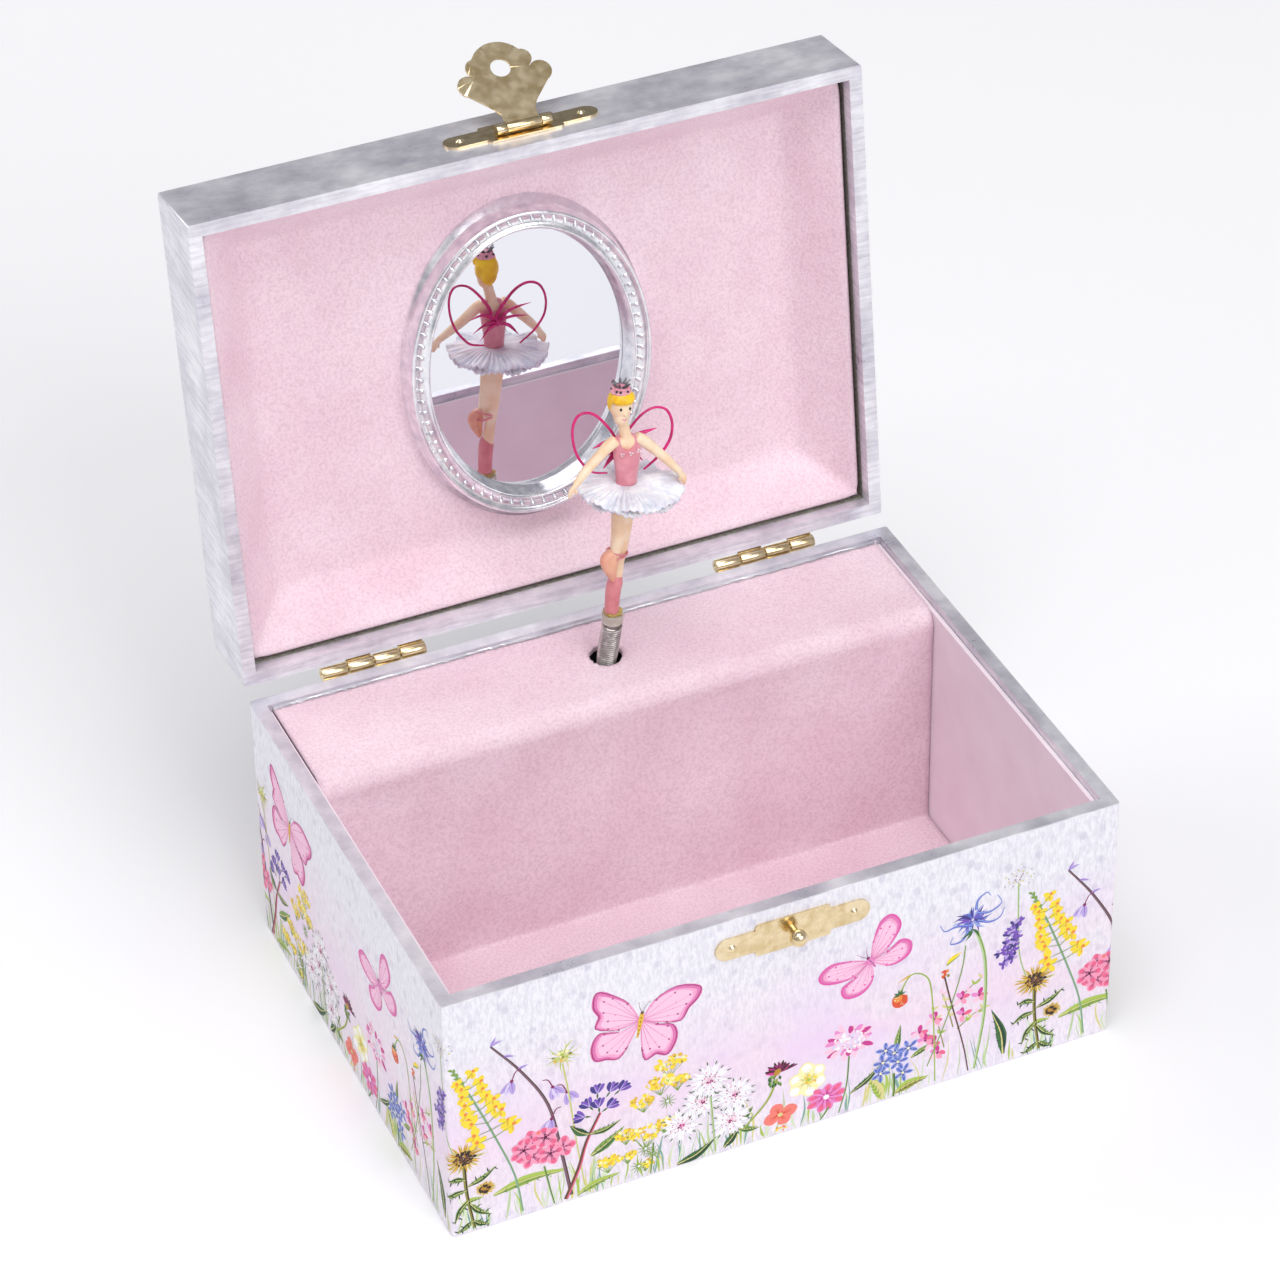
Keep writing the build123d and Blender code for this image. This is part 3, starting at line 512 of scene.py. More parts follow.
# ---- linings ------------------------------------------------------------------------
def soft_wave(x, y, size):
    """A gentle unevenness between -1 and 1, size metres from crest to crest."""
    a, b = x / size, y / size
    first = math.sin(6.1 * a + 1.3 * math.sin(4.3 * b))
    second = math.sin(5.3 * b + 1.7 * math.sin(3.1 * a))
    return 0.5 * first + 0.5 * second


def lid_velour():
    """The lid's lining: a shallow tray whose sides slope in to a flat back, with soft creases."""
    low, high = closed_box("lid_lining")
    card_thick = 1.2 * MM
    half_x = high.x - 1.0 * MM
    half_y = high.y - 1.0 * MM
    slope_x, slope_y = 9.7 * MM, 8.9 * MM
    rise = high.z - low.z - card_thick
    softness = 0.07
    count_x, count_y = 150, 110
    shape = Shape()
    rows = []
    for j in range(count_y + 1):
        y = half_y * (2 * j / count_y - 1)
        row = []
        for i in range(count_x + 1):
            x = half_x * (2 * i / count_x - 1)
            limits = ((half_x - abs(x)) / slope_x, (half_y - abs(y)) / slope_y, 1.0)
            share = -softness * math.log(sum(math.exp(-v / softness) for v in limits))
            edge = min(1.0, 2 * min(limits[0], limits[1]))
            wave = 0.22 * MM * edge * soft_wave(x, y, 60 * MM)
            row.append(OPENED @ Vector((x, y, low.z + max(share, 0) * rise - 0.25 * MM * edge + wave)))
        rows.append(row)
    shape.grid(rows)
    made = piece("lid_velour", shape, "velour")
    solid = made.modifiers.new("thickness", "SOLIDIFY")
    solid.thickness = card_thick * 0.8
    solid.offset = 1.0
    settle(made)
    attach(made, "lid")
    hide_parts("lid_lining")


def arc(centre, radius, start, end, steps):
    """Points as (y, z) along an arc, with the angles in degrees."""
    turns = [math.radians(start + (end - start) * k / steps) for k in range(steps + 1)]
    return [(centre[0] + radius * math.cos(t), centre[1] + radius * math.sin(t)) for t in turns]


def straight(start, end, steps):
    return [(start[0] + (end[0] - start[0]) * k / steps, start[1] + (end[1] - start[1]) * k / steps)
            for k in range(1, steps)]


SPINDLE = Vector(joints["spindle_spin"]["pos_m"])
HOLE_R = 3.75 * MM
insert_low, insert_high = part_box("velour_insert")
DECK = insert_high.z
FLOOR = insert_low.z + 1.6 * MM
PARTITION = 22.7 * MM                 # the face of the upright wall, back from the middle


def deck_velour():
    """One bent sheet: the floor, the partition and the deck with the spring's hole."""
    bend, crease = 4.5 * MM, 1.0 * MM
    line = [(insert_low.y, FLOOR)]
    line += straight(line[-1], (PARTITION - crease, FLOOR), 40)
    line += arc((PARTITION - crease, FLOOR + crease), crease, -90, 0, 4)
    line += straight(line[-1], (PARTITION, DECK - bend), 34)
    line += arc((PARTITION + bend, DECK - bend), bend, 180, 90, 9)
    line += straight(line[-1], (insert_high.y, DECK), 20)
    line.append((insert_high.y, DECK))
    count = 110
    rows = []
    for y, z in line:
        row = []
        for i in range(count + 1):
            x = insert_high.x * (2 * i / count - 1)
            wave = 0.12 * MM * soft_wave(x, y + z, 45 * MM) - 0.12 * MM
            on_top = min(1.0, max(0.0, (y - PARTITION) / bend))
            upright = 1.0 if FLOOR + crease < z < DECK - bend else 0.0
            row.append(Vector((x, y - wave * upright, z + wave * (1 - upright) * (0.4 + 0.6 * on_top))))
        rows.append(row)
    shape = Shape()
    shape.grid(rows)
    made = piece("deck_velour", shape, "velour")
    solid = made.modifiers.new("thickness", "SOLIDIFY")
    solid.thickness = 1.1 * MM
    solid.offset = -1.0
    settle(made)

    chance = random.Random(5)
    sides = 48
    ragged = [HOLE_R * (1 + chance.uniform(-0.05, 0.05)) for _ in range(sides)]
    cutter = Shape()
    cutter.grid([[Vector((SPINDLE.x + r * math.cos(t), SPINDLE.y + r * math.sin(t), z))
                  for r, t in zip(ragged, circle(sides))]
                 for z in (DECK - 5 * MM, DECK + 3 * MM)], close_columns=True)
    cutter.cap(0, sides, flip=True)
    cutter.cap(sides, sides)
    carve(made, "hole_cutter", cutter, "velour", smooth=False)
    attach(made, "casing")
    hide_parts("velour_insert")


def torn_edge():
    """The torn foil edge and its fibres along the back of the deck."""
    chance = random.Random(11)
    half = insert_high.x
    back = insert_high.y
    steps = 420
    front, rear = [], []
    reach = 0.6
    for k in range(steps + 1):
        x = half * (2 * k / steps - 1)
        reach = min(0.8, max(0.15, reach + chance.uniform(-0.25, 0.25)))
        front.append(Vector((x, back - reach * MM, DECK + 0.04 * MM)))
        rear.append(Vector((x, back + 0.05 * MM, DECK + 0.3 * MM)))
    middle = [a.lerp(b, 0.5) + Vector((0, 0, 0.05 * MM)) for a, b in zip(front, rear)]
    shape = Shape()
    shape.grid([front, middle, rear])
    for _ in range(900):
        x = chance.uniform(-half, half) * 0.995
        length = chance.uniform(0.4, 1.5) * MM
        turn = chance.uniform(-1.2, 1.2)
        start = Vector((x, back - 0.3 * MM, DECK + 0.05 * MM))
        end = start + length * Vector((math.sin(turn), -math.cos(turn), chance.uniform(0.0, 0.35)))
        end.x = min(half, max(-half, end.x))
        shape.tube([start, start.lerp(end, 0.5) + Vector((0, 0, 0.1 * MM)), end],
                   [0.05 * MM, 0.04 * MM, 0.015 * MM], 5)
    made = piece("torn_foil_edge", shape, "rim")
    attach(made, "casing")


# ---- mirror -------------------------------------------------------------------------
def mirror_rim():
    """The oval frame: a foot, a flared wall, a beaded band between two lips and a bevel to the glass."""
    foot_low, foot_high = closed_box("mirror_frame")
    glass_low, glass_high = closed_box("mirror_glass")
    middle = (foot_low + foot_high) / 2
    lap = 1.5 * MM                                   # of the glass behind the frame
    open_x = (glass_high.x - glass_low.x) / 2 - lap
    open_y = (glass_high.y - glass_low.y) / 2 - lap
    foot_x = (foot_high.x - foot_low.x) / 2 - open_x
    foot_y = (foot_high.y - foot_low.y) / 2 - open_y
    face = foot_low.z
    glass = glass_low.z
    # each point of the profile: outwards across, outwards up and down, and its height
    band = face + 0.45 * MM
    profile = [(foot_x, foot_y, foot_high.z), (foot_x - 0.1 * MM, foot_y - 0.1 * MM, foot_high.z - 0.9 * MM),
               (5.95 * MM, 5.9 * MM, foot_high.z - 1.1 * MM), (5.6 * MM, 5.5 * MM, face + 1.2 * MM),
               (5.4 * MM, 5.3 * MM, face + 0.35 * MM), (5.1 * MM, 5.0 * MM, face + 0.03 * MM),
               (4.75 * MM, 4.65 * MM, face), (4.45 * MM, 4.35 * MM, face + 0.12 * MM),
               (4.3 * MM, 4.2 * MM, band), (3.2 * MM, 3.2 * MM, band - 0.1 * MM), (2.0 * MM, 2.0 * MM, band),
               (1.85 * MM, 1.85 * MM, face + 0.12 * MM), (1.6 * MM, 1.6 * MM, face),
               (1.3 * MM, 1.3 * MM, face + 0.03 * MM), (1.05 * MM, 1.05 * MM, face + 0.4 * MM),
               (0.5 * MM, 0.5 * MM, face + 2.2 * MM), (0.1 * MM, 0.1 * MM, glass - 0.25 * MM),
               (0.0, 0.0, glass - 0.05 * MM), (0.6 * MM, 0.6 * MM, glass - 0.02 * MM)]
    sides = 180
    rows = []
    for turn in circle(sides):
        rows.append([Vector((middle.x + (open_x + out_x) * math.cos(turn),
                             middle.y + (open_y + out_y) * math.sin(turn), z))
                     for out_x, out_y, z in profile])
    shape = Shape()
    shape.grid(rows, close_rows=True)

    # beads at even steps along the band
    beads = 72
    out = 3.2 * MM
    fine_steps = 1440
    fine = [Vector((middle.x + (open_x + out) * math.cos(t), middle.y + (open_y + out) * math.sin(t), band))
            for t in (*circle(fine_steps), 2 * math.pi)]
    length = [0.0]
    for a, b in zip(fine, fine[1:]):
        length.append(length[-1] + (b - a).length)
    step = 0
    for bead in range(beads):
        while length[step] < bead / beads * length[-1]:
            step += 1
        shape.ball(fine[step] - Vector((0, 0, 0.02 * MM)), (0.6 * MM, 0.6 * MM, 0.5 * MM), 14, 8)
    shape.place(OPENED)
    made = piece("beaded_mirror_frame", shape, "silver")
    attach(made, "lid")
    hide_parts("mirror_frame")


# ---- dancer -------------------------------------------------------------------------
SPIN = joints["dancer_spin"]
UP = Vector(SPIN["axis"])
FOOT = Vector(SPIN["pos_m"])
SIDE = Vector((1, 0, -UP.x / UP.z)).normalized()
DOLL = Matrix.Translation(FOOT) @ Matrix([SIDE, UP.cross(SIDE), UP]).transposed().to_4x4()
# how far the hips are out of line, at each height in millimetres
SWAY = ((8, 0.0), (27, 0.9), (36, 1.6), (44, 1.3), (48.5, 0.6), (52, 0.0))


def doll(x, y, z):
    """A point in the dancer's upright millimetres, with the hips swayed to one side."""
    sway = 0.0
    for (low, start), (high, end) in zip(SWAY, SWAY[1:]):
        if low <= z < high:
            sway = start + (end - start) * (z - low) / (high - low)
    return Vector((x + sway, y, z)) * MM


def limb(shape, points, radii, sides=16, squash=1.0):
    """A round limb through the dancer's places, in millimetres."""
    line = spline([doll(*p) for p in points], 6)
    shape.tube(line, [r * MM for r in ramped(radii, len(line))], sides, squash)


def coil():
    """The spring: close turns from the spindle to the cap, bent by the dancer's fold."""
    low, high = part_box("coil_spring")
    wire = 0.25 * MM
    radius = 2.05 * MM
    bottom = Vector((SPINDLE.x, SPINDLE.y, low.z + wire))
    top = FOOT + UP * 1.5 * MM
    run = (top - bottom).normalized()
    side = Vector((1, 0, 0)).cross(run).normalized()
    other = run.cross(side)
    turns, steps = 19, 26
    line = []
    for k in range(turns * steps + 1):
        turn = 2 * math.pi * k / steps
        out = math.cos(turn) * side + math.sin(turn) * other
        line.append(bottom.lerp(top, k / (turns * steps)) + radius * out)
    shape = Shape()
    shape.tube(line, [wire] * len(line), 10)
    made = piece("bending_spring", shape, "steel")
    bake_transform(made, "casing", "dancer_lean", start=bottom, end=top)
    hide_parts("coil_spring")


def doll_body():
    skin = Shape()
    # neck, chest and shoulders
    limb(skin, [(0, 0, 42.5), (0, 0, 46.5), (-0.4, -0.1, 51.0)], [1.7, 1.3, 1.2])
    skin.ball(doll(0, 0.1, 45.6), (3.1 * MM, 1.75 * MM, 1.8 * MM))
    skin.ball(doll(0, 0, 42.6), (2.7 * MM, 1.85 * MM, 3.0 * MM))
    # arms swept down and out to the skirt's edge, with a flat hand and thumb
    for side, reach, drop in ((-1, 1.0, 0.0), (1, 0.9, 1.2)):
        def at(out, y, z):
            return (side * (2.3 + (out - 2.3) * reach), y, z - drop * (out / 14) ** 2)
        limb(skin, [at(2.3, 0, 46.4), at(4.2, -0.1, 45.4), at(7.6, -0.4, 42.6), at(10.2, -1.0, 40.5),
                    at(12.8, -1.8, 38.2)], [1.35, 1.35, 1.15, 1.05, 0.78])
        limb(skin, [at(12.7, -1.8, 38.3), at(13.8, -2.0, 36.9), at(14.2, -2.0, 35.4)], [0.78, 1.0, 0.5],
             squash=0.6)
        limb(skin, [at(13.0, -1.9, 37.6), at(12.6, -2.2, 36.2)], [0.45, 0.3], 10)
    # legs: one stands, the other crosses in front of it
    limb(skin, [(0.9, 0.1, 34.5), (0.9, 0.1, 28.0), (0.8, 0.1, 22.0), (0.4, 0.1, 17.0), (0.0, 0, 11.0)],
         [1.95, 1.8, 1.5, 1.25, 1.4])
    limb(skin, [(-0.9, -0.2, 34.5), (-0.8, -0.3, 28.0), (-0.9, -0.7, 22.5), (-1.3, -1.1, 18.6)],
         [1.95, 1.75, 1.45, 1.1])
    skin.place(DOLL)
    made = fused("doll_skin", skin, "skin", "dancer", 0.22 * MM)
    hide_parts("dancer_figure")

    foot = Shape()
    limb(foot, [(-1.6, -0.9, 19.6), (-2.9, -1.0, 18.9), (-3.4, -1.2, 17.8), (-2.6, -1.5, 15.8),
                (-1.3, -1.6, 13.0)], [1.15, 1.3, 1.3, 1.15, 0.5])
    limb(foot, [(-1.5, -1.1, 19.8), (-1.9, -1.5, 17.4), (-1.3, -1.6, 13.6)], [1.05, 1.15, 0.55])
    foot.place(DOLL)
    fused("crossed_foot", foot, "blush", "dancer", 0.18 * MM)

    shoe = Shape()
    limb(shoe, [(-0.3, 0.0, 4.3), (-0.3, 0.0, 7.0), (-0.3, -0.05, 10.0), (-0.1, -0.2, 12.0),
                (0.3, 0.1, 13.4)], [1.6, 1.65, 1.75, 1.75, 1.25])
    shoe.place(DOLL)
    fused("pointed_shoe", shoe, "shoe", "dancer", 0.18 * MM)

    ribbon = Shape()
    for turn_z, lean in ((19.5, -0.9), (18.6, 0.9)):
        ring = [doll(-0.5 + 2.3 * math.cos(t), -0.45 + 1.75 * math.sin(t), turn_z + lean * math.cos(t) * 0.7)
                for t in circle(40)]
        ribbon.tube(ring, [0.24 * MM] * len(ring), 8, closed=True)
    ribbon.place(DOLL)
    piece("ankle_ribbon", ribbon, "shoe", "dancer")

    glue = Shape()
    chance = random.Random(3)
    glue.ball(doll(-0.1, 0, 4.2), (1.95 * MM, 1.95 * MM, 0.7 * MM))
    for _ in range(7):
        turn = chance.uniform(0, 2 * math.pi)
        glue.ball(doll(1.7 * math.cos(turn), 1.7 * math.sin(turn), 4.3 + chance.uniform(0, 0.4)),
                  (0.65 * MM, 0.65 * MM, 0.5 * MM), 12, 8)
    glue.place(DOLL)
    fused("glue_bead", glue, "glue", "dancer", 0.15 * MM, 3)


def leotard():
    """The painted bodice with its scooped neck, and three painted highlights across the bust: small white
    glints.
    """
    heights = [(31.5, 1.9, 1.7), (33.6, 2.2, 1.75), (36.5, 2.35, 1.8), (39.4, 2.65, 1.95), (41.8, 3.0, 2.15),
               (43.8, 3.2, 2.25), (45.4, 3.1, 2.0), (46.8, 2.6, 1.65), (47.6, 1.9, 1.3)]
    sides = 40
    shape = Shape()
    shape.grid([[doll(half_x * math.cos(t), half_y * math.sin(t), z) for t in circle(sides)]
                for z, half_x, half_y in heights], close_columns=True)
    shape.cap(0, sides, flip=True)
    shape.cap(sides * (len(heights) - 1), sides)
    made = piece("rose_leotard", shape, "leotard")
    smooth = made.modifiers.new("smooth", "SUBSURF")
    smooth.levels = smooth.render_levels = 2
    settle(made)
    for name, centre, size in (("front_scoop", (0, -2.4, 47.4), (2.0, 2.9, 3.0)),
                               ("back_scoop", (0, 2.3, 48.0), (1.8, 2.0, 3.2)),
                               ("left_arm_hole", (-3.8, 0, 46.6), (1.3, 2.8, 1.9)),
                               ("right_arm_hole", (3.8, 0, 46.6), (1.3, 2.8, 1.9))):
        cutter = Shape()
        cutter.ball(doll(*centre), [s * MM for s in size], 32, 20)
        carve(made, name, cutter, "leotard")
    made.data.transform(DOLL)
    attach(made, "dancer")

    # painted highlights: clusters of small white dots stand in for glints of light across the bust
    glints = Shape()
    for x, z, lean in ((-1.9, 43.7, 0.3), (0.0, 43.9, 0.2), (2.0, 44.0, -0.35)):
        y = -2.26 * math.sqrt(1 - (x / 3.2) ** 2) - 0.03
        reach = 0.34
        for turn in (0, 2.1, 4.2):
            glints.ball(doll(x + reach * math.cos(turn + lean), y, z + reach * math.sin(turn + lean)),
                        (0.2 * MM, 0.14 * MM, 0.2 * MM), 10, 6)
    glints.place(DOLL)
    piece("bodice_glints", glints, "glint", "dancer")


HEAD = (-0.7, -0.1, 54.3)


def head():
    face = Shape()
    face.ball(doll(HEAD[0], HEAD[1], HEAD[2] + 0.4), (2.5 * MM, 2.5 * MM, 3.2 * MM), 32, 24)
    face.ball(doll(HEAD[0], HEAD[1] - 0.35, HEAD[2] - 1.9), (1.75 * MM, 1.9 * MM, 2.3 * MM), 32, 24)
    face.ball(doll(HEAD[0], HEAD[1] - 2.6, HEAD[2] - 0.75), (0.32 * MM, 0.36 * MM, 0.5 * MM), 12, 8)
    face.place(DOLL)
    fused("doll_head", face, "skin", "dancer", 0.16 * MM, 4)

    hair = Shape()
    hair.ball(doll(HEAD[0], HEAD[1] + 0.8, HEAD[2] + 1.0), (2.75 * MM, 2.5 * MM, 3.3 * MM), 32, 24)
    hair.ball(doll(HEAD[0], HEAD[1] + 1.9, HEAD[2] + 0.2), (2.1 * MM, 1.7 * MM, 2.9 * MM), 24, 16)
    # a fringe of short locks across the brow
    locks = 13
    for k in range(locks):
        turn = math.radians(-160 + 140 * k / (locks - 1))
        x, y = 2.3 * math.cos(turn), 2.35 * math.sin(turn)
        limb(hair, [(HEAD[0] + 0.65 * x, HEAD[1] + 0.65 * y, HEAD[2] + 3.4),
                    (HEAD[0] + x, HEAD[1] + y, HEAD[2] + 2.5),
                    (HEAD[0] + 1.06 * x, HEAD[1] + 1.04 * y, HEAD[2] + 1.5 + 0.2 * (k % 2))],
             [0.75, 0.66, 0.34], 10)
    hair.place(DOLL)
    fused("yellow_hair", hair, "hair", "dancer", 0.16 * MM, 2)

    marks = Shape()
    for side in (-1, 1):
        marks.ball(doll(HEAD[0] + side * 1.05, HEAD[1] - 2.32, HEAD[2] + 0.55),
                   (0.3 * MM, 0.2 * MM, 0.36 * MM), 12, 8)
    marks.place(DOLL)
    piece("eyes", marks, "dark", "dancer")
    mouth = Shape()
    limb(mouth, [(HEAD[0] - 0.65, HEAD[1] - 2.1, HEAD[2] - 1.75), (HEAD[0], HEAD[1] - 2.3, HEAD[2] - 2.1),
                 (HEAD[0] + 0.65, HEAD[1] - 2.1, HEAD[2] - 1.75)], [0.07, 0.16, 0.07], 8)
    mouth.place(DOLL)
    piece("mouth", mouth, "leotard", "dancer")


def crown():
    """A pink band of small beads round the bun, with dark stones and a spiky crown on top."""
    chance = random.Random(8)
    middle = (HEAD[0] - 0.2, HEAD[1] + 0.1, HEAD[2] + 4.1)
    band = Shape()
    band.ball(doll(*middle), (2.0 * MM, 1.9 * MM, 1.15 * MM), 28, 16)
    for turn in circle(16):
        for step, rise in enumerate((-0.3, 0.5)):
            out = 1.95 - 0.35 * step
            band.ball(doll(middle[0] + out * math.cos(turn + step * 0.2), middle[1] + out * math.sin(turn),
                           middle[2] + rise), (0.42 * MM, 0.42 * MM, 0.42 * MM), 10, 8)
    band.place(DOLL)
    fused("hair_band", band, "band", "dancer", 0.13 * MM, 2)

    top = Shape()
    for even_turn in circle(9):
        turn = even_turn + chance.uniform(-0.15, 0.15)
        out = Vector((math.cos(turn), math.sin(turn), 0))
        foot = Vector(middle) + out * 1.1 + Vector((0, 0, 0.8))
        tip = foot + out * 0.85 + Vector((0, 0, chance.uniform(0.75, 1.25)))
        limb(top, [foot, foot.lerp(tip, 0.5) + Vector((0, 0, 0.12)), tip], [0.3, 0.26, 0.12], 10)
        top.ball(doll(*tip), (0.2 * MM, 0.2 * MM, 0.2 * MM), 10, 6)
    ring = [doll(middle[0] + 1.15 * math.cos(t), middle[1] + 1.15 * math.sin(t), middle[2] + 0.85)
            for t in circle(30)]
    top.tube(ring, [0.22 * MM] * len(ring), 8, closed=True)
    top.place(DOLL)
    made = piece("spiky_crown", top, "crown", "dancer")
    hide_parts("dancer_crown")

    stones = Shape()
    for turn in (-115, -68, -20, 40, 100, 160, 220):
        t = math.radians(turn)
        stones.ball(doll(middle[0] + 1.98 * math.cos(t), middle[1] + 1.98 * math.sin(t), middle[2] + 0.25),
                    (0.3 * MM, 0.3 * MM, 0.3 * MM), 12, 8)
    stones.place(DOLL)
    piece("crown_stones", stones, "dark", "dancer")


def tutu():
    """Two ruffles, one under the other: fine pleats, and an edge of soft lobes that dip and rise."""
    spokes, rings = 504, 20
    shape = Shape()
    for waist_z, rim_z, reach, turned in ((35.7, 34.4, 11.4, 0.0), (34.9, 33.4, 10.9, 0.35)):
        rows = []
        for turn in circle(spokes):
            lobe = math.sin(9 * (turn + turned) + 0.6 * math.sin(2 * turn))
            pleat = math.sin(46 * turn + 0.8 * math.sin(4 * turn))
            row = []
            for i in range(rings + 1):
                out = i / rings
                radius = 2.0 + (reach - 2.0) * out + 0.5 * lobe * out ** 3
                droop = (waist_z - rim_z) * (0.4 * out + 0.6 * out ** 4)
                flute = 0.36 * pleat * min(1.0, 3 * out) * (1.25 - 0.6 * out)
                height = waist_z - droop + flute + 0.75 * lobe * out ** 2
                place = Vector((0.9 * out + radius * math.cos(turn), radius * math.sin(turn), height)) * MM
                row.append(place + Vector((1.6 * MM, 0, 0)))
            rows.append(row)
        shape.grid(rows, close_rows=True)
    shape.place(DOLL)
    made = piece("pleated_tutu", shape, "tutu")
    solid = made.modifiers.new("thickness", "SOLIDIFY")
    solid.thickness = 0.5 * MM
    solid.offset = 0.0
    settle(made)
    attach(made, "dancer")
    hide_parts("dancer_tutu")


def wings():
    """Outlined wings of one bent wire each, and a bow of tapered strokes between them."""
    shape = Shape()
    plane_y = 2.6
    loops = (((-1.3, 43.2), (-1.9, 46.8), (-5.4, 51.8), (-8.8, 52.6), (-10.7, 50.2), (-11.2, 46.2),
              (-10.3, 42.4), (-8.2, 39.4), (-6.4, 38.0), (-3.4, 37.4)),
             ((-0.7, 43.2), (1.2, 46.2), (5.0, 50.0), (8.4, 51.4), (11.1, 50.4), (12.1, 47.2),
              (11.4, 43.4), (9.4, 40.2), (7.4, 38.4), (5.2, 36.8)))
    strokes = [((0.0, 43.0), (-3.2, 44.8), (-6.9, 43.9)), ((0.0, 42.6), (-3.0, 42.4), (-6.0, 40.6)),
               ((0.0, 42.2), (-2.2, 41.2), (-4.3, 38.6)), ((0.0, 43.2), (3.6, 45.4), (8.4, 46.4)),
               ((0.0, 42.8), (3.2, 43.6), (7.4, 43.4)), ((0.0, 42.4), (2.6, 41.6), (5.0, 39.0))]
    for loop in loops:
        line = spline([doll(x, plane_y, z) for x, z in loop], 10)
        shape.tube(line, [r * MM for r in ramped([0.42, 0.34, 0.34, 0.34, 0.24], len(line))], 10, 0.8)
    for places in strokes:
        line = spline([doll(x, plane_y, z) for x, z in places], 12)
        shape.tube(line, [MM * r for r in ramped([0.3, 0.62, 0.6, 0.4, 0.08], len(line))], 10, 0.5)
    shape.ball(doll(0, plane_y - 0.1, 42.5), (0.75 * MM, 0.5 * MM, 0.9 * MM), 16, 10)
    limb(shape, [(0, 1.2, 42.5), (0, 2.6, 42.5)], [0.6, 0.6], 12)
    shape.place(DOLL)
    made = piece("wire_wings", shape, "wing", "dancer")
    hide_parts("dancer_wings")


lid_velour()
deck_velour()
torn_edge()
mirror_rim()
coil()
doll_body()
leotard()
head()
crown()
tutu()
wings()


# ---- printed meadow -----------------------------------------------------------------
INKS = {
    "grass": "B9CE9A", "pale_grass": "D3DFC0", "leaf": "7FA04A", "lime": "A9C255", "deep_leaf": "3E6B3C",
    "dark_leaf": "24442F", "blue_green": "7FA79A", "olive": "8D8A3E", "brown": "6B4636", "umber": "3A2A22",
    "twig": "7A5A66", "straw": "D8D08A", "cream": "F5EFB4", "yellow": "F6DA3A", "gold": "E3B63A",
    "ochre": "B98A2E", "orange": "E98A3C", "red": "D9512F", "coral": "EE7F74", "rose": "E8658C",
    "pink": "F29BB8", "pale_pink": "F7C9DC", "orchid": "E58AC6", "magenta": "C93A8C", "maroon": "5A1638",
    "plum": "83285C", "lilac": "B9A3DC", "pale_lilac": "D9CDEC", "violet": "7B55B8", "indigo": "463A86",
    "blue": "5A6CC4", "sky": "93A6E2", "white": "FBFAFC", "pearl": "EDEAF1", "grey": "B9B5C2",
    "wing_pale": "F6C6DF", "wing_middle": "EFA6CC", "wing_rim": "DD76B0", "wing_dark": "A93672",
    "wing_bright": "E04FA6",
}
PERIOD = (HALF_W + HALF_D) / MM       # the print repeats four times round the box
CELLS = 264                           # along one repeat, to find which inks lie over each other
CELL = PERIOD / CELLS
# widths from the foot to the tip of a stroke
ROUND = (0.25, 0.7, 0.95, 1.0, 0.8, 0.25)
POINTED = (0.2, 0.75, 1.0, 0.75, 0.4, 0.04)
HAIR = (1.0, 0.9, 0.7, 0.4)


def polar(length, degrees):
    return cmath.rect(length, math.radians(degrees))


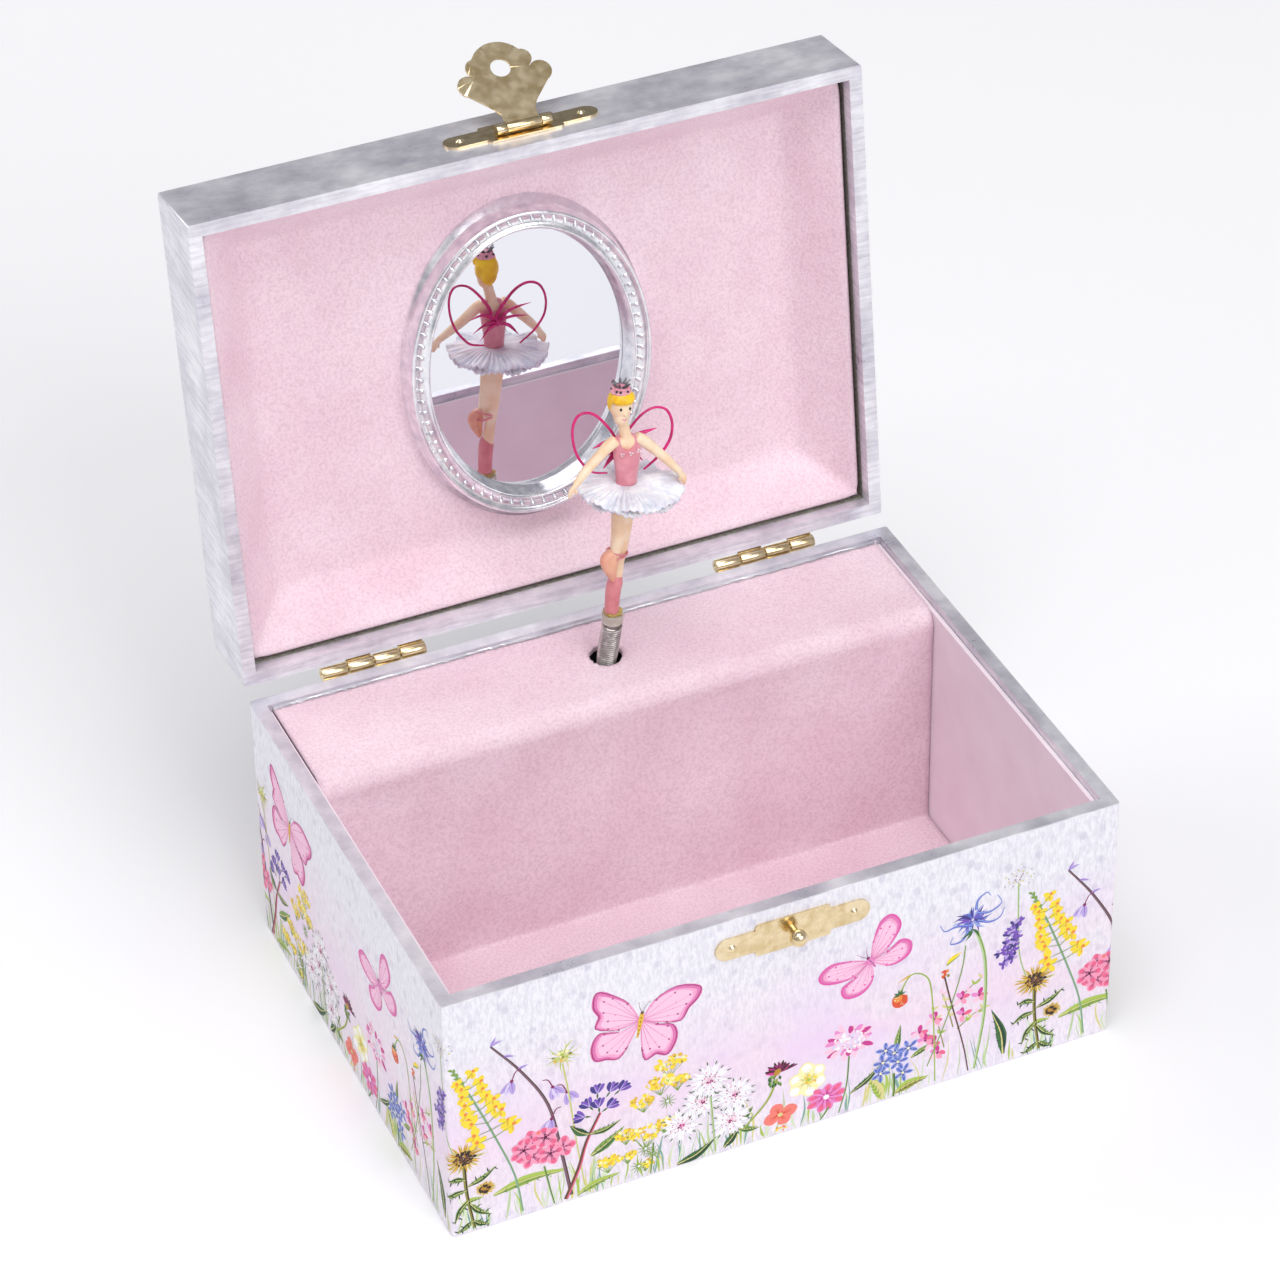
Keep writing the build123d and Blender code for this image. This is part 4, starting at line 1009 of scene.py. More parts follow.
class Meadow:
    """Flat strokes of ink on a strip round the box. Places are complex: millimetres along, and up."""

    def __init__(self):
        self.points = []
        self.lifts = []
        self.faces = []
        self.inks = []
        self.levels = {}
        self.chance = random.Random(21)

    def wobble(self, reach=1.0):
        return self.chance.uniform(-reach, reach)

    def shift(self, reach):
        return complex(self.wobble(reach), self.wobble(reach))

    def paint(self, points, faces, ink):
        """Lays faces just above whatever ink they cross."""
        cells = set()
        for face in faces:
            along = [points[k].real / CELL for k in face]
            up = [points[k].imag / CELL for k in face]
            for i in range(math.floor(min(along)), math.floor(max(along)) + 1):
                for j in range(math.floor(min(up)), math.floor(max(up)) + 1):
                    cells.add((i % CELLS, j))
        level = 1 + max(self.levels.get(cell, 0) for cell in cells)
        for cell in cells:
            self.levels[cell] = level
        first = len(self.points)
        self.points += points
        self.lifts += [0.02 + 0.0007 * level] * len(points)
        self.faces += [tuple(first + k for k in face) for face in faces]
        self.inks += [ink] * len(faces)

    def stroke(self, places, widths, ink, steps=4):
        line = spline(places, steps) if len(places) > 2 else [places[0], sum(places) / 2, places[1]]
        widths = ramped(widths, len(line))
        points = []
        for k, place in enumerate(line):
            run = line[min(k + 1, len(line) - 1)] - line[max(k - 1, 0)]
            side = 1j * run / max(abs(run), 1e-6) * widths[k] / 2
            points += [place + side, place - side]
        self.paint(points, [(2 * k + 1, 2 * k + 3, 2 * k + 2, 2 * k) for k in range(len(line) - 1)], ink)

    def dab(self, centre, radius, ink, sides=7, squash=1.0, turn=0.0):
        edge = []
        for k in range(sides):
            spot = cmath.rect(radius * (1 + self.wobble(0.15)), 2 * math.pi * k / sides)
            edge.append(centre + complex(spot.real, spot.imag * squash) * polar(1, turn))
        self.paint(edge, [tuple(range(sides))], ink)

    def petal(self, foot, aim, width, ink, shape=ROUND, bend=0.0, steps=2):
        """A petal or leaf from its foot; aim is its length and direction."""
        places = [foot, foot + aim * (0.5 + 0.5j * bend), foot + aim]
        self.stroke(places, [width * w for w in shape], ink, steps + 1)

    def stem(self, places, width=0.5, light="leaf", dark="deep_leaf"):
        self.stroke(places, [width, width * 0.75], light)
        self.stroke([p + 0.18 * width for p in places], [width * 0.4, width * 0.25], dark)

    def leaf(self, foot, tip, width, light="leaf", dark="deep_leaf", bend=0.15):
        aim = tip - foot
        self.petal(foot, aim, width, light, POINTED, bend, 4)
        self.petal(foot - 0.12j * aim / abs(aim) * width, aim * 0.94, width * 0.5, dark, POINTED, bend, 4)
        self.petal(foot, aim * 0.9, width * 0.14, "straw", HAIR, bend, 3)
        for k in range(1, 6):
            place = foot + aim * k / 7
            for side in (1, -1):
                self.petal(place, aim / abs(aim) * polar(width * 0.42, 42 * side), 0.13, "dark_leaf", HAIR)

    def flower(self, centre, radius, petals, inks, heart, width=0.8, squash=1.0, turn=None):
        """Washed petals in a light, middle and dark ink, and a dotted heart."""
        light, middle, dark = inks
        turn = self.wobble(40) if turn is None else turn
        for k in range(petals):
            aim = polar(radius * (1 + self.wobble(0.1)), turn + 360 * k / petals + self.wobble(6))
            aim = complex(aim.real, aim.imag * squash)
            self.petal(centre + 0.08 * aim, aim, width * radius, light)
            self.petal(centre + aim * (0.5 + self.wobble(0.08)), aim * 0.52, width * radius * 0.55, middle)
            for lean in (-14, 0, 14):
                self.petal(centre + 0.12 * aim, aim * polar(0.6, lean), 0.05 * radius, dark, HAIR)
        self.dab(centre, radius * 0.16, heart)
        for k in range(6):
            self.dab(centre + polar(radius * 0.24, 60 * k + self.wobble(20)), radius * 0.06, dark, 5)

    def rays(self, count, short, long, jitter, squash=1.0):
        """Numbered aims all round, of random lengths."""
        for k in range(count):
            aim = polar(self.chance.uniform(short, long), k * 360 / count + self.wobble(jitter))
            yield k, complex(aim.real, aim.imag * squash)

    def spray(self, centre, radius, count, size, inks, squash=1.0):
        """A loose crowd of small dabs."""
        for _ in range(count):
            place = polar(radius * math.sqrt(self.chance.random()), self.wobble(180))
            place = centre + complex(place.real, place.imag * squash)
            self.dab(place, size * (0.7 + 0.6 * self.chance.random()), self.chance.choice(inks), 6,
                     0.75, self.wobble(90))

    def wing(self, root, outline, inks, veins, spots):
        """A butterfly's wing: washes, a dark scalloped edge, veins and rows of spots."""
        pale, middle, rim, dark = inks
        line = spline([root, *outline, root], 6)[:-1]
        centre = sum(line) / len(line)
        area = sum((a.conjugate() * b).imag for a, b in zip(line, line[1:] + line[:1]))
        ring = line if area > 0 else line[::-1]
        fan = [(0, k + 1, (k + 1) % len(ring) + 1) for k in range(len(ring))]
        for size, ink in ((1.0, middle), (0.82, pale)):
            toward = root * 0.55 + centre * 0.45
            self.paint([centre * size + toward * (1 - size)] +
                       [p * size + toward * (1 - size) for p in ring], fan, ink)
        outer = line[6:-6]
        self.stroke([p + (centre - p) * 0.06 for p in outer[::3]], [0.25, 1.1, 1.2, 0.9, 0.3], rim, 3)
        edge = [p + (centre - p) * 0.02 * (k % 2) for k, p in enumerate(outer)]
        self.stroke(edge, [0.14, 0.3, 0.34, 0.2], dark, 2)
        for k in range(veins):
            end = outer[int((k + 0.5) / veins * (len(outer) - 1))]
            aim = (end - root) * 0.93
            self.petal(root, aim, 0.14, rim, HAIR, self.wobble(0.05))
        for k in range(spots):
            end = outer[int((k + 0.5) / spots * (len(outer) - 1))]
            self.dab(root + (end - root) * (0.8 + self.wobble(0.04)), 0.27, dark, 6)
            self.dab(root + (end - root) * (0.62 + self.wobble(0.06)), 0.16, rim, 5)

    def butterfly(self, head, tail, wings, inks, body, veins=6, spots=6, feelers=3.0):
        middle = head + (tail - head) * 0.3
        for outline in wings:
            self.wing(middle, outline, inks, veins, spots)
        self.stroke([head, middle, tail], [0.7, 1.25, 0.35], body[0])
        for k in range(5):
            spot = head + (tail - head) * (0.2 + 0.16 * k)
            self.dab(spot, 0.2, body[1], 5)
        self.dab(head, 0.42, body[1])
        for lean in (-24, 24):
            aim = (head - tail) / abs(head - tail) * polar(feelers, lean)
            self.petal(head, aim, 0.12, body[1], HAIR, 0.1)
            self.dab(head + aim, 0.14, body[1], 5)

    def grasses(self):
        for _ in range(120):
            foot = complex(self.chance.uniform(-66.1, 66.1), 0.3)
            aim = polar(self.chance.uniform(3, 13), 90 + self.wobble(16))
            ink = self.chance.choice(("pale_grass", "pale_grass", "grass", "straw", "lime", "blue_green"))
            self.petal(foot, aim, self.chance.uniform(0.25, 0.75), ink, POINTED, self.wobble(0.2), 3)

    def thistle(self):
        self.stem([-73.8 + 21j, -73.4 + 11j, -72 + 0.9j], 0.9, "olive", "umber")
        for foot, tip in ((-73.4 + 12j, -79 + 10j), (-73.2 + 13j, -66.5 + 16.5j), (-73 + 9j, -76.4 + 3.4j),
                          (-72.8 + 8j, -68 + 3.2j), (-73.6 + 15j, -78 + 15.4j), (-72.4 + 3j, -76 + 0.6j),
                          (-72.2 + 3j, -68.6 + 0.7j)):
            self.leaf(foot, tip, 1.5, "leaf", "dark_leaf", self.wobble(0.3))
            for k in range(4):
                place = foot + (tip - foot) * (0.3 + 0.2 * k)
                self.petal(place, (tip - foot) / abs(tip - foot) * polar(1.3, 70 * (-1) ** k), 0.35,
                           "dark_leaf", POINTED)
        for centre, size in ((-73.8 + 21.1j, 4.9), (-69.3 + 11j, 2.4)):
            for k, aim in self.rays(34, size * 0.8, size * 1.1, 5, 0.85):
                self.petal(centre + 0.2 * aim, aim * 0.82, 0.62, "gold" if k % 3 else "straw", POINTED,
                           self.wobble(0.1))
                self.petal(centre + 0.25 * aim, aim * 0.6, 0.16, "brown", HAIR)
            self.spray(centre, size * 0.5, 60, 0.42, ("umber", "umber", "umber", "brown", "ochre"), 0.75)

    def toadflax(self):
        self.stem([-75.2 + 45.7j, -71 + 36j, -66.5 + 24j, -62.6 + 12j, -61.1 + 1.3j], 0.55,
                  "blue_green", "leaf")
        for k in range(8):
            place = -75.2 + 45.7j + (2.4 - 5.4j) * k / 8
            self.petal(place, polar(1.3, 150 - 60 * (k % 2)), 0.7, "leaf", POINTED)
        for k in range(9):
            share = k / 8
            spot = (-72.5 + 41.8j) * (1 - share) + (-66.4 + 24.6j) * share
            for side in (-1, 1):
                reach = (1.6 + 2.0 * share + self.wobble(0.7)) * side
                place = spot + complex(reach, 0.7 + 0.8 * side + self.wobble(0.8))
                for lean in (40, 120, 200, 290):
                    self.petal(place, polar(1.7 + share * 0.6, lean + self.wobble(35)), 1.3, "yellow")
                self.petal(place, polar(1.8, 250 + 20 * side), 0.5, "gold", POINTED)
                self.dab(place + complex(0.3 * side, 0.35), 0.42 + 0.12 * share, "orange", 6)
                self.petal(spot, place - spot, 0.22, "leaf", HAIR)

    def twig(self):
        """Lilac bells on a dark arching twig, over a yellow-green star."""
        self.stroke([-66.8 + 49.2j, -60.4 + 40j, -54.7 + 28.7j, -52 + 14j, -50.1 + 1.6j],
                    [0.45, 0.55, 0.6, 0.75, 0.8], "twig", 6)
        self.stroke([-66.6 + 49.2j, -60.1 + 40j, -54.4 + 28.7j, -51.7 + 14j, -49.8 + 1.6j],
                    [0.15, 0.2, 0.2, 0.25, 0.25], "umber", 6)
        for place, aim in ((-66.8 + 49.2j, polar(2.6, 60)), (-66.8 + 49.2j, polar(2.8, 15)),
                           (-64 + 45.6j, polar(2.6, -20)), (-61 + 41j, polar(2.4, 10))):
            self.petal(place, aim, 0.8, "lilac", POINTED, self.wobble(0.2))
            self.petal(place, aim * 0.8, 0.18, "violet", HAIR)
        for place, side in ((-62.5 + 38.2j, -1), (-53.5 + 33.2j, 1), (-50.4 + 30.7j, 1), (-54 + 24.5j, -1)):
            self.stroke([place + complex(-2.2 * side, 2.6), place + complex(-side, 2.2), place],
                        [0.25, 0.3], "plum")
            for lean in (-24, 0, 24):
                aim = polar(3.6, -90 + lean + 22 * side)
                self.petal(place, aim, 1.5, "lilac" if lean else "pale_lilac", ROUND, self.wobble(0.1))
                self.petal(place, aim * 0.8, 0.2, "violet", HAIR)
            self.dab(place, 0.45, "plum", 6)
        centre = -51.2 + 40.7j
        for k, aim in self.rays(22, 2.2, 5.2, 8):
            self.petal(centre, aim, 0.3, "straw" if k % 2 else "lime", POINTED, self.wobble(0.25))
        self.spray(centre, 2.0, 24, 0.42, ("cream", "straw", "lime", "gold", "olive"), 0.8)
        self.stem([centre - 2j, -50 + 30j, -48.6 + 16j, -47 + 3j], 0.4, "straw", "lime")

    def phlox(self):
        for centre in (-58.7 + 15.8j, -51.8 + 15.7j, -58.3 + 20.3j, -54.5 + 15.1j, -55.5 + 20j,
                       -60.4 + 18.2j):
            self.flower(centre, 2.9, 5, ("pink", "rose", "plum"), "maroon", 0.85)
        self.dab(-57 + 21.8j, 0.5, "coral")
        self.stem([-56 + 12j, -55 + 6j, -54 + 0.6j], 0.45)

    def gentian(self):
        self.stroke([-43.1 + 22j, -46.4 + 15j, -48.3 + 8.3j, -51.4 + 0.8j], [0.7, 0.9, 1.0], "brown")
        self.stroke([-42.9 + 22j, -46.1 + 15j, -48 + 8.3j, -51.1 + 0.8j], [0.25, 0.3], "rose")
        self.leaf(-45.8 + 17j, -50 + 21j, 2.0, "deep_leaf", "dark_leaf")
        self.leaf(-45.6 + 17j, -38.4 + 18.4j, 1.6, "leaf", "dark_leaf", -0.2)
        for centre, lean in ((-45.4 + 24.6j, 120), (-43.6 + 27.6j, 88), (-40.8 + 27j, 55),
                             (-46.6 + 22.2j, 160), (-41.4 + 22.8j, 28), (-38.6 + 26.6j, 35),
                             (-43.4 + 23.6j, 95)):
            for fan in (-34, -12, 12, 34):
                ink = "violet" if fan in (-34, 12) else "indigo"
                self.petal(centre, polar(2.7, lean + fan), 1.25, ink, ROUND, 0.1)
            for fan in (-20, 20):
                self.petal(centre, polar(2.3, lean + fan), 0.3, "lilac", HAIR)
            self.petal(centre, polar(-1.6, lean), 0.5, "deep_leaf", POINTED)

    def broad_leaves(self):
        for foot, tip, width, light, dark in (
                (-67.5 + 8.4j, -50.4 + 9.4j, 2.6, "lime", "leaf"),
                (-45.5 + 10.8j, -37.8 + 16.2j, 2.6, "leaf", "deep_leaf"),
                (-48.7 + 1.1j, -38.8 + 3.6j, 1.9, "lime", "leaf"),
                (-25.9 + 0.6j, -16.6 + 5.0j, 2.4, "deep_leaf", "dark_leaf"),
                (-15 + 1.2j, -11.4 + 5.4j, 2.2, "deep_leaf", "dark_leaf"),
                (-11.4 + 5.2j, -6.6 + 3.8j, 1.7, "leaf", "deep_leaf"),
                (-11 + 7j, -8.2 + 10.4j, 1.7, "leaf", "deep_leaf"),
                (51.4 + 2.6j, 48.2 + 16.4j, 2.6, "deep_leaf", "dark_leaf"),
                (22.4 + 0.6j, 18.6 + 8.2j, 3.0, "lime", "straw"),
                (25.4 + 1.4j, 33.4 + 3.2j, 2.8, "lime", "olive"),
                (14.6 + 5.2j, 22.6 + 11.4j, 1.5, "deep_leaf", "dark_leaf"),
                (25.6 + 13j, 26.4 + 20.4j, 1.6, "leaf", "deep_leaf"),
                (29 + 10j, 35 + 12.6j, 1.6, "leaf", "deep_leaf"),
                (57.6 + 8.4j, 62.5 + 8.8j, 1.4, "lime", "leaf")):
            self.leaf(foot, tip, width, light, dark, self.wobble(0.2))

    def umbels(self):
        for centre, reach in ((-27 + 30j, 3.4), (-29.4 + 25.4j, 3.2), (-33.6 + 21.6j, 2.8),
                              (-25.2 + 24.6j, 2.6), (-32.6 + 12.4j, 4.0), (-37.4 + 13.6j, 2.4),
                              (-28.4 + 13.6j, 2.4), (-41.6 + 7.6j, 2.7), (-37.2 + 7.6j, 2.0),
                              (-32.7 + 3.6j, 1.7)):
            under = centre - complex(self.wobble(0.5), reach * 1.2)
            for k in range(7):
                spot = centre + complex(reach * (k / 3 - 1), reach * 0.25 * self.wobble())
                self.stroke([under, spot], [0.16, 0.12], "leaf")
            self.spray(centre, reach, int(16 * reach), 0.52,
                       ("yellow", "yellow", "yellow", "gold", "cream"), 0.55)
            self.spray(centre, reach, 5, 0.26, ("lime", "olive"), 0.5)
        for centre in (-27.8 + 19.4j, -33 + 8j, -34.6 + 3.6j, -31.4 + 6j):
            for k in range(11):
                self.petal(centre, polar(2.0, k * 360 / 11 + self.wobble(8)), 0.26, "leaf", HAIR)
            self.dab(centre, 0.35, "pearl")
        self.stem([-31.2 + 9j, -31.6 + 4j, -32 + 0.5j], 0.4)

    def astrantia(self):
        for centre in (-24.8 + 11.4j, -13.2 + 8.6j, -20.1 + 16.4j, -12.4 + 15.4j, -18.2 + 21.6j):
            size = 4.9
            for k, aim in self.rays(26, size * 0.85, size * 1.05, 4):
                self.petal(centre + 0.1 * aim, aim * 0.95, 0.95, "white" if k % 3 else "pearl", POINTED)
                if k % 2:
                    self.petal(centre + 0.82 * aim, aim * 0.26, 0.34, "deep_leaf", POINTED)
                self.petal(centre + 0.2 * aim, aim * 0.6, 0.1, "grey", HAIR)
            for k, aim in self.rays(20, 0.9, 2.8, 10):
                self.petal(centre, aim, 0.1, "pale_pink", HAIR)
                self.dab(centre + aim, 0.17, "plum" if k % 2 else "rose", 5)
            self.spray(centre - 0.3j, 0.8, 8, 0.26, ("maroon", "plum", "magenta"), 0.6)
        self.stem([-18 + 17j, -17.4 + 8j, -17 + 1j], 0.45, "grass", "leaf")

    def knapweed(self):
        self.stem([-2.6 + 16j, -5 + 10.4j, -10.6 + 4.6j], 0.6, "lime", "olive")
        for k in range(30):
            aim = polar(self.chance.uniform(2.6, 4.4), 14 + 150 * k / 29 + self.wobble(5))
            aim = complex(aim.real, aim.imag * 0.75)
            ink = ("maroon", "plum", "umber", "maroon", "magenta")[k % 5]
            self.petal(-2.0 + 17.6j, aim, 0.7, ink, ROUND, self.wobble(0.1))
        for k in range(16):
            spot = complex(-3 + self.wobble(1.4), 15.2 + self.wobble(1.5))
            ink = "leaf" if k % 2 else "deep_leaf"
            self.petal(spot, polar(1.2, 95 + self.wobble(20)), 0.75, ink, POINTED)
            self.petal(spot, polar(0.6, 95), 0.25, "dark_leaf", HAIR)
        self.petal(-3 + 17j, polar(2.0, 60), 1.6, "ochre")

    def low_flowers(self):
        self.flower(-1.8 + 5.5j, 3.6, 4, ("coral", "coral", "red"), "lime", 0.95, 0.8, 20)
        self.dab(-1.8 + 5.5j, 0.6, "straw")
        self.spray(-1.6 + 1.4j, 1.3, 8, 0.4, ("orange", "yellow", "coral"), 0.5)
        self.flower(4.7 + 12.9j, 4.3, 6, ("cream", "white", "straw"), "lime", 0.95)
        self.spray(4.7 + 12.9j, 1.9, 22, 0.34, ("yellow", "lime", "gold", "straw"), 0.8)
        self.flower(9 + 6.4j, 4.4, 9, ("orchid", "rose", "magenta"), "white", 0.55, 0.8)
        self.stem([9.6 + 3.4j, 8.6 + 1.6j, 7.6 + 0.4j], 0.5)
        self.stem([14.3 + 16j, 13.8 + 8j, 12 + 0.6j], 0.4)
        centre = 14.3 + 20.3j
        for k, aim in self.rays(24, 4.6, 6.8, 6, 0.82):
            ink = ("orchid", "pale_pink", "magenta", "pale_pink")[k % 4]
            self.petal(centre + 0.5 * aim, aim * 0.5, 1.3, ink, ROUND, self.wobble(0.3))
        self.spray(centre, 3.8, 60, 0.42, ("white", "pearl", "pale_pink", "white", "pale_lilac"), 0.8)
        self.spray(centre, 4.4, 16, 0.17, ("magenta", "plum"), 0.8)

    def blue_stars(self):
        for centre in (21.9 + 8.1j, 27.2 + 6.4j, 25 + 12.8j, 23 + 14.2j, 28.4 + 13j, 26 + 10j, 22.4 + 11j):
            self.flower(centre, 2.3, 5, ("sky", "blue", "indigo"), "cream", 0.5)
        self.stem([25 + 7j, 25.2 + 3j, 25 + 0.4j], 0.7, "leaf", "dark_leaf")

    def strawberry(self):
        self.stem([26.1 + 29.4j, 28.6 + 33.4j, 32.0 + 32j, 33.6 + 27j, 34.6 + 12j, 35 + 1j], 0.4,
                  "lime", "leaf")
        self.dab(26.0 + 27.2j, 2.0, "red", 12, 0.95)
        self.dab(25.7 + 27.8j, 1.1, "orange", 9)
        for k in range(9):
            self.dab(26 + 27.2j + self.shift(1.2), 0.15, "cream", 5)
        for lean in (20, 60, 100, 150, 190):
            self.petal(26 + 28.8j, polar(1.6, lean), 0.6, "deep_leaf", POINTED)
        self.petal(28.6 + 33.6j, polar(3.4, 205), 0.5, "gold", POINTED)
        self.spray(36.7 + 30.7j, 1.1, 9, 0.42, ("orange", "red", "olive"), 0.8)
        self.stem([36.6 + 30j, 38.4 + 22j, 41.6 + 9j, 43 + 1j], 0.4, "brown", "umber")
        self.petal(37 + 33j, polar(4.4, 35), 1.3, "yellow", POINTED, 0.2)
        self.petal(37 + 33j, polar(3.6, 30), 0.4, "leaf", HAIR)
        self.stroke([41.4 + 37j, 40.6 + 30j, 37.4 + 18j, 33 + 6j], [0.3, 0.3], "leaf")

    def pink_sprays(self):
        for foot, tip in ((38 + 20j, 46 + 27j), (39 + 15j, 36 + 26j), (40 + 14j, 46.6 + 18j),
                          (36 + 8j, 31 + 17j), (37 + 10j, 34 + 22j)):
            self.stroke([foot, (foot + tip) / 2 + 0.6j, tip], [0.3, 0.2], "olive")
            for k in range(4):
                place = foot + (tip - foot) * (0.35 + 0.2 * k)
                for side in (-1, 1):
                    self.petal(place, polar(1.7, 60 - 50 * side + self.wobble(30)), 0.7,
                               self.chance.choice(("lime", "straw", "pale_pink", "leaf")), POINTED, 0.1)
        for centre in (34.4 + 18.9j, 45.1 + 21.8j, 41.4 + 17.7j, 34 + 12.2j, 32.4 + 13.6j, 35.4 + 9j,
                       40.8 + 22.4j, 31 + 16.4j):
            for k in range(5):
                ink = ("rose", "magenta", "orchid", "pale_pink", "pink")[k]
                self.petal(centre, polar(2.1, 72 * k + self.wobble(25)), 1.2, ink, ROUND, self.wobble(0.3))
            self.dab(centre, 0.35, "plum", 6)

    def rampion(self):
        self.stem([44 + 40j, 46.2 + 31j, 46.4 + 16j, 44.4 + 1j], 0.9, "grass", "leaf")
        centre = 42.9 + 43.6j
        for k, aim in self.rays(34, 2.4, 4.8, 12, 0.85):
            ink = ("blue", "indigo", "sky", "violet")[k % 4]
            self.petal(centre + 0.1 * aim, aim, 0.6, ink, POINTED, self.wobble(0.5), 4)
        for way in ((43 + 42j, 39 + 43j, 36.4 + 42.6j, 35.2 + 44.6j),
                    (44 + 45j, 47 + 44.4j, 49.6 + 46j, 48.6 + 48.4j),
                    (42 + 41j, 40.4 + 38.6j, 37.8 + 38.6j, 38.4 + 40.4j),
                    (43.6 + 46j, 44 + 48.6j, 46 + 50j, 47 + 48.8j),
                    (44 + 43j, 47 + 41.6j, 49.4 + 42.2j, 50.4 + 44.4j)):
            self.stroke(way, [0.7, 0.55, 0.3, 0.15], "blue", 5)
            self.stroke([p + 0.12j for p in way], [0.2, 0.12], "sky", 5)
        for lean in (215, 240, 300):
            self.petal(centre - 2.6j, polar(3.2, lean), 0.7, "deep_leaf", POINTED, 0.2)

    def lavender(self):
        self.stem([53.5 + 50j, 53.8 + 40j, 54.4 + 30j, 56.5 + 22j], 0.4, "grass", "leaf")
        for k in range(26):
            share = k / 25
            spot = complex(50.6 + 2.8 * share + self.wobble(2.3 - share), 28.2 + 11 * share)
            for lean in (30, 95, 150, 250):
                ink = self.chance.choice(("violet", "indigo", "lilac", "violet"))
                self.petal(spot, polar(1.3, lean + self.wobble(25)), 0.75, ink)
            self.dab(spot, 0.2, "umber", 5)
        centre = 53.5 + 51.4j
        for k, aim in self.rays(40, 1.6, 4.0, 6, 0.8):
            self.petal(centre, aim, 0.1, "pearl", HAIR)
            self.dab(centre + aim, 0.26, ("pearl", "white", "straw", "grey")[k % 4], 5)
        self.spray(centre, 1.5, 12, 0.2, ("plum", "grey", "straw"), 0.8)

    def butterflies(self):
        self.butterfly(-33.2 + 45.9j, -34.4 + 39.4j,
                       ((-36 + 49.4j, -39.8 + 53j, -43.2 + 54.8j, -44 + 51.2j, -42.8 + 48.2j,
                         -43.6 + 45.2j, -38.6 + 43.2j),
                        (-30.6 + 48.2j, -25.6 + 50.2j, -20.2 + 48.4j, -20.6 + 45.6j, -22.8 + 43.4j,
                         -24.6 + 40.6j, -29.2 + 41.8j),
                        (-38.4 + 42.6j, -42.8 + 43.6j, -44.6 + 40.4j, -44 + 36.8j, -41.4 + 36.2j,
                         -38.6 + 35.4j, -36 + 38.8j),
                        (-30.4 + 41.8j, -26.4 + 40.2j, -25.6 + 36.4j, -27.6 + 32.6j, -30.2 + 33.6j,
                         -32.8 + 32.8j, -33.6 + 37.6j)),
                       ("wing_pale", "wing_middle", "wing_rim", "wing_dark"), ("gold", "brown"))
        self.butterfly(18.4 + 41.8j, 20.2 + 38.8j,
                       ((14.8 + 42.4j, 9.8 + 42.8j, 7.2 + 40.6j, 8.2 + 38.4j, 12.4 + 37.4j, 16.2 + 38.2j),
                        (19.4 + 45.6j, 21.2 + 50.6j, 23.8 + 51.8j, 25.8 + 48.8j, 24.6 + 45.2j, 22 + 42.2j),
                        (16 + 37.6j, 12.6 + 35.6j, 13.2 + 32.8j, 16.4 + 32.4j, 19 + 34.2j, 19.8 + 37.4j),
                        (22.6 + 41.6j, 25.8 + 44j, 28.2 + 42.8j, 28 + 39.8j, 25 + 38j, 21.8 + 38.6j)),
                       ("wing_pale", "wing_middle", "wing_rim", "wing_bright"), ("orchid", "plum"), 7, 5)

    def whole(self):
        self.grasses()
        for part in (self.broad_leaves, self.umbels, self.astrantia, self.twig, self.lavender,
                     self.thistle, self.toadflax, self.phlox, self.gentian, self.knapweed,
                     self.low_flowers, self.pink_sprays, self.blue_stars, self.strawberry,
                     self.rampion, self.butterflies):
            part()


# each side of the box: where it starts, which way it is turned, and its length
SIDES = ((-HALF_W, -HALF_D, 0, 2 * HALF_W), (HALF_W, -HALF_D, 90, 2 * HALF_D),
         (HALF_W, HALF_D, 180, 2 * HALF_W), (-HALF_W, HALF_D, 270, 2 * HALF_D))


def on_wrap(along, up, lift):
    """A place on the strip, laid on the box's side with the corners turned over the wrap's radius."""
    along += HALF_W
    side = 0
    while along > SIDES[side][3] and side < 3:
        along -= SIDES[side][3]
        side += 1
    if along < 0:
        side = 3
        along += SIDES[side][3]
    x, y, turn, length = SIDES[side]
    # each side takes half of the quarter turn at its two corners
    nearest = min(max(along, CORNER), length - CORNER)
    if nearest == along:
        place = Vector((along, -lift, up))
    else:
        angle = (along - nearest) / CORNER * math.radians(45)
        out = (CORNER + lift) * Vector((math.sin(angle), -math.cos(angle), 0))
        place = Vector((nearest, CORNER, up)) + out
    return Matrix.Translation((x, y, 0)) @ Matrix.Rotation(math.radians(turn), 4, "Z") @ place


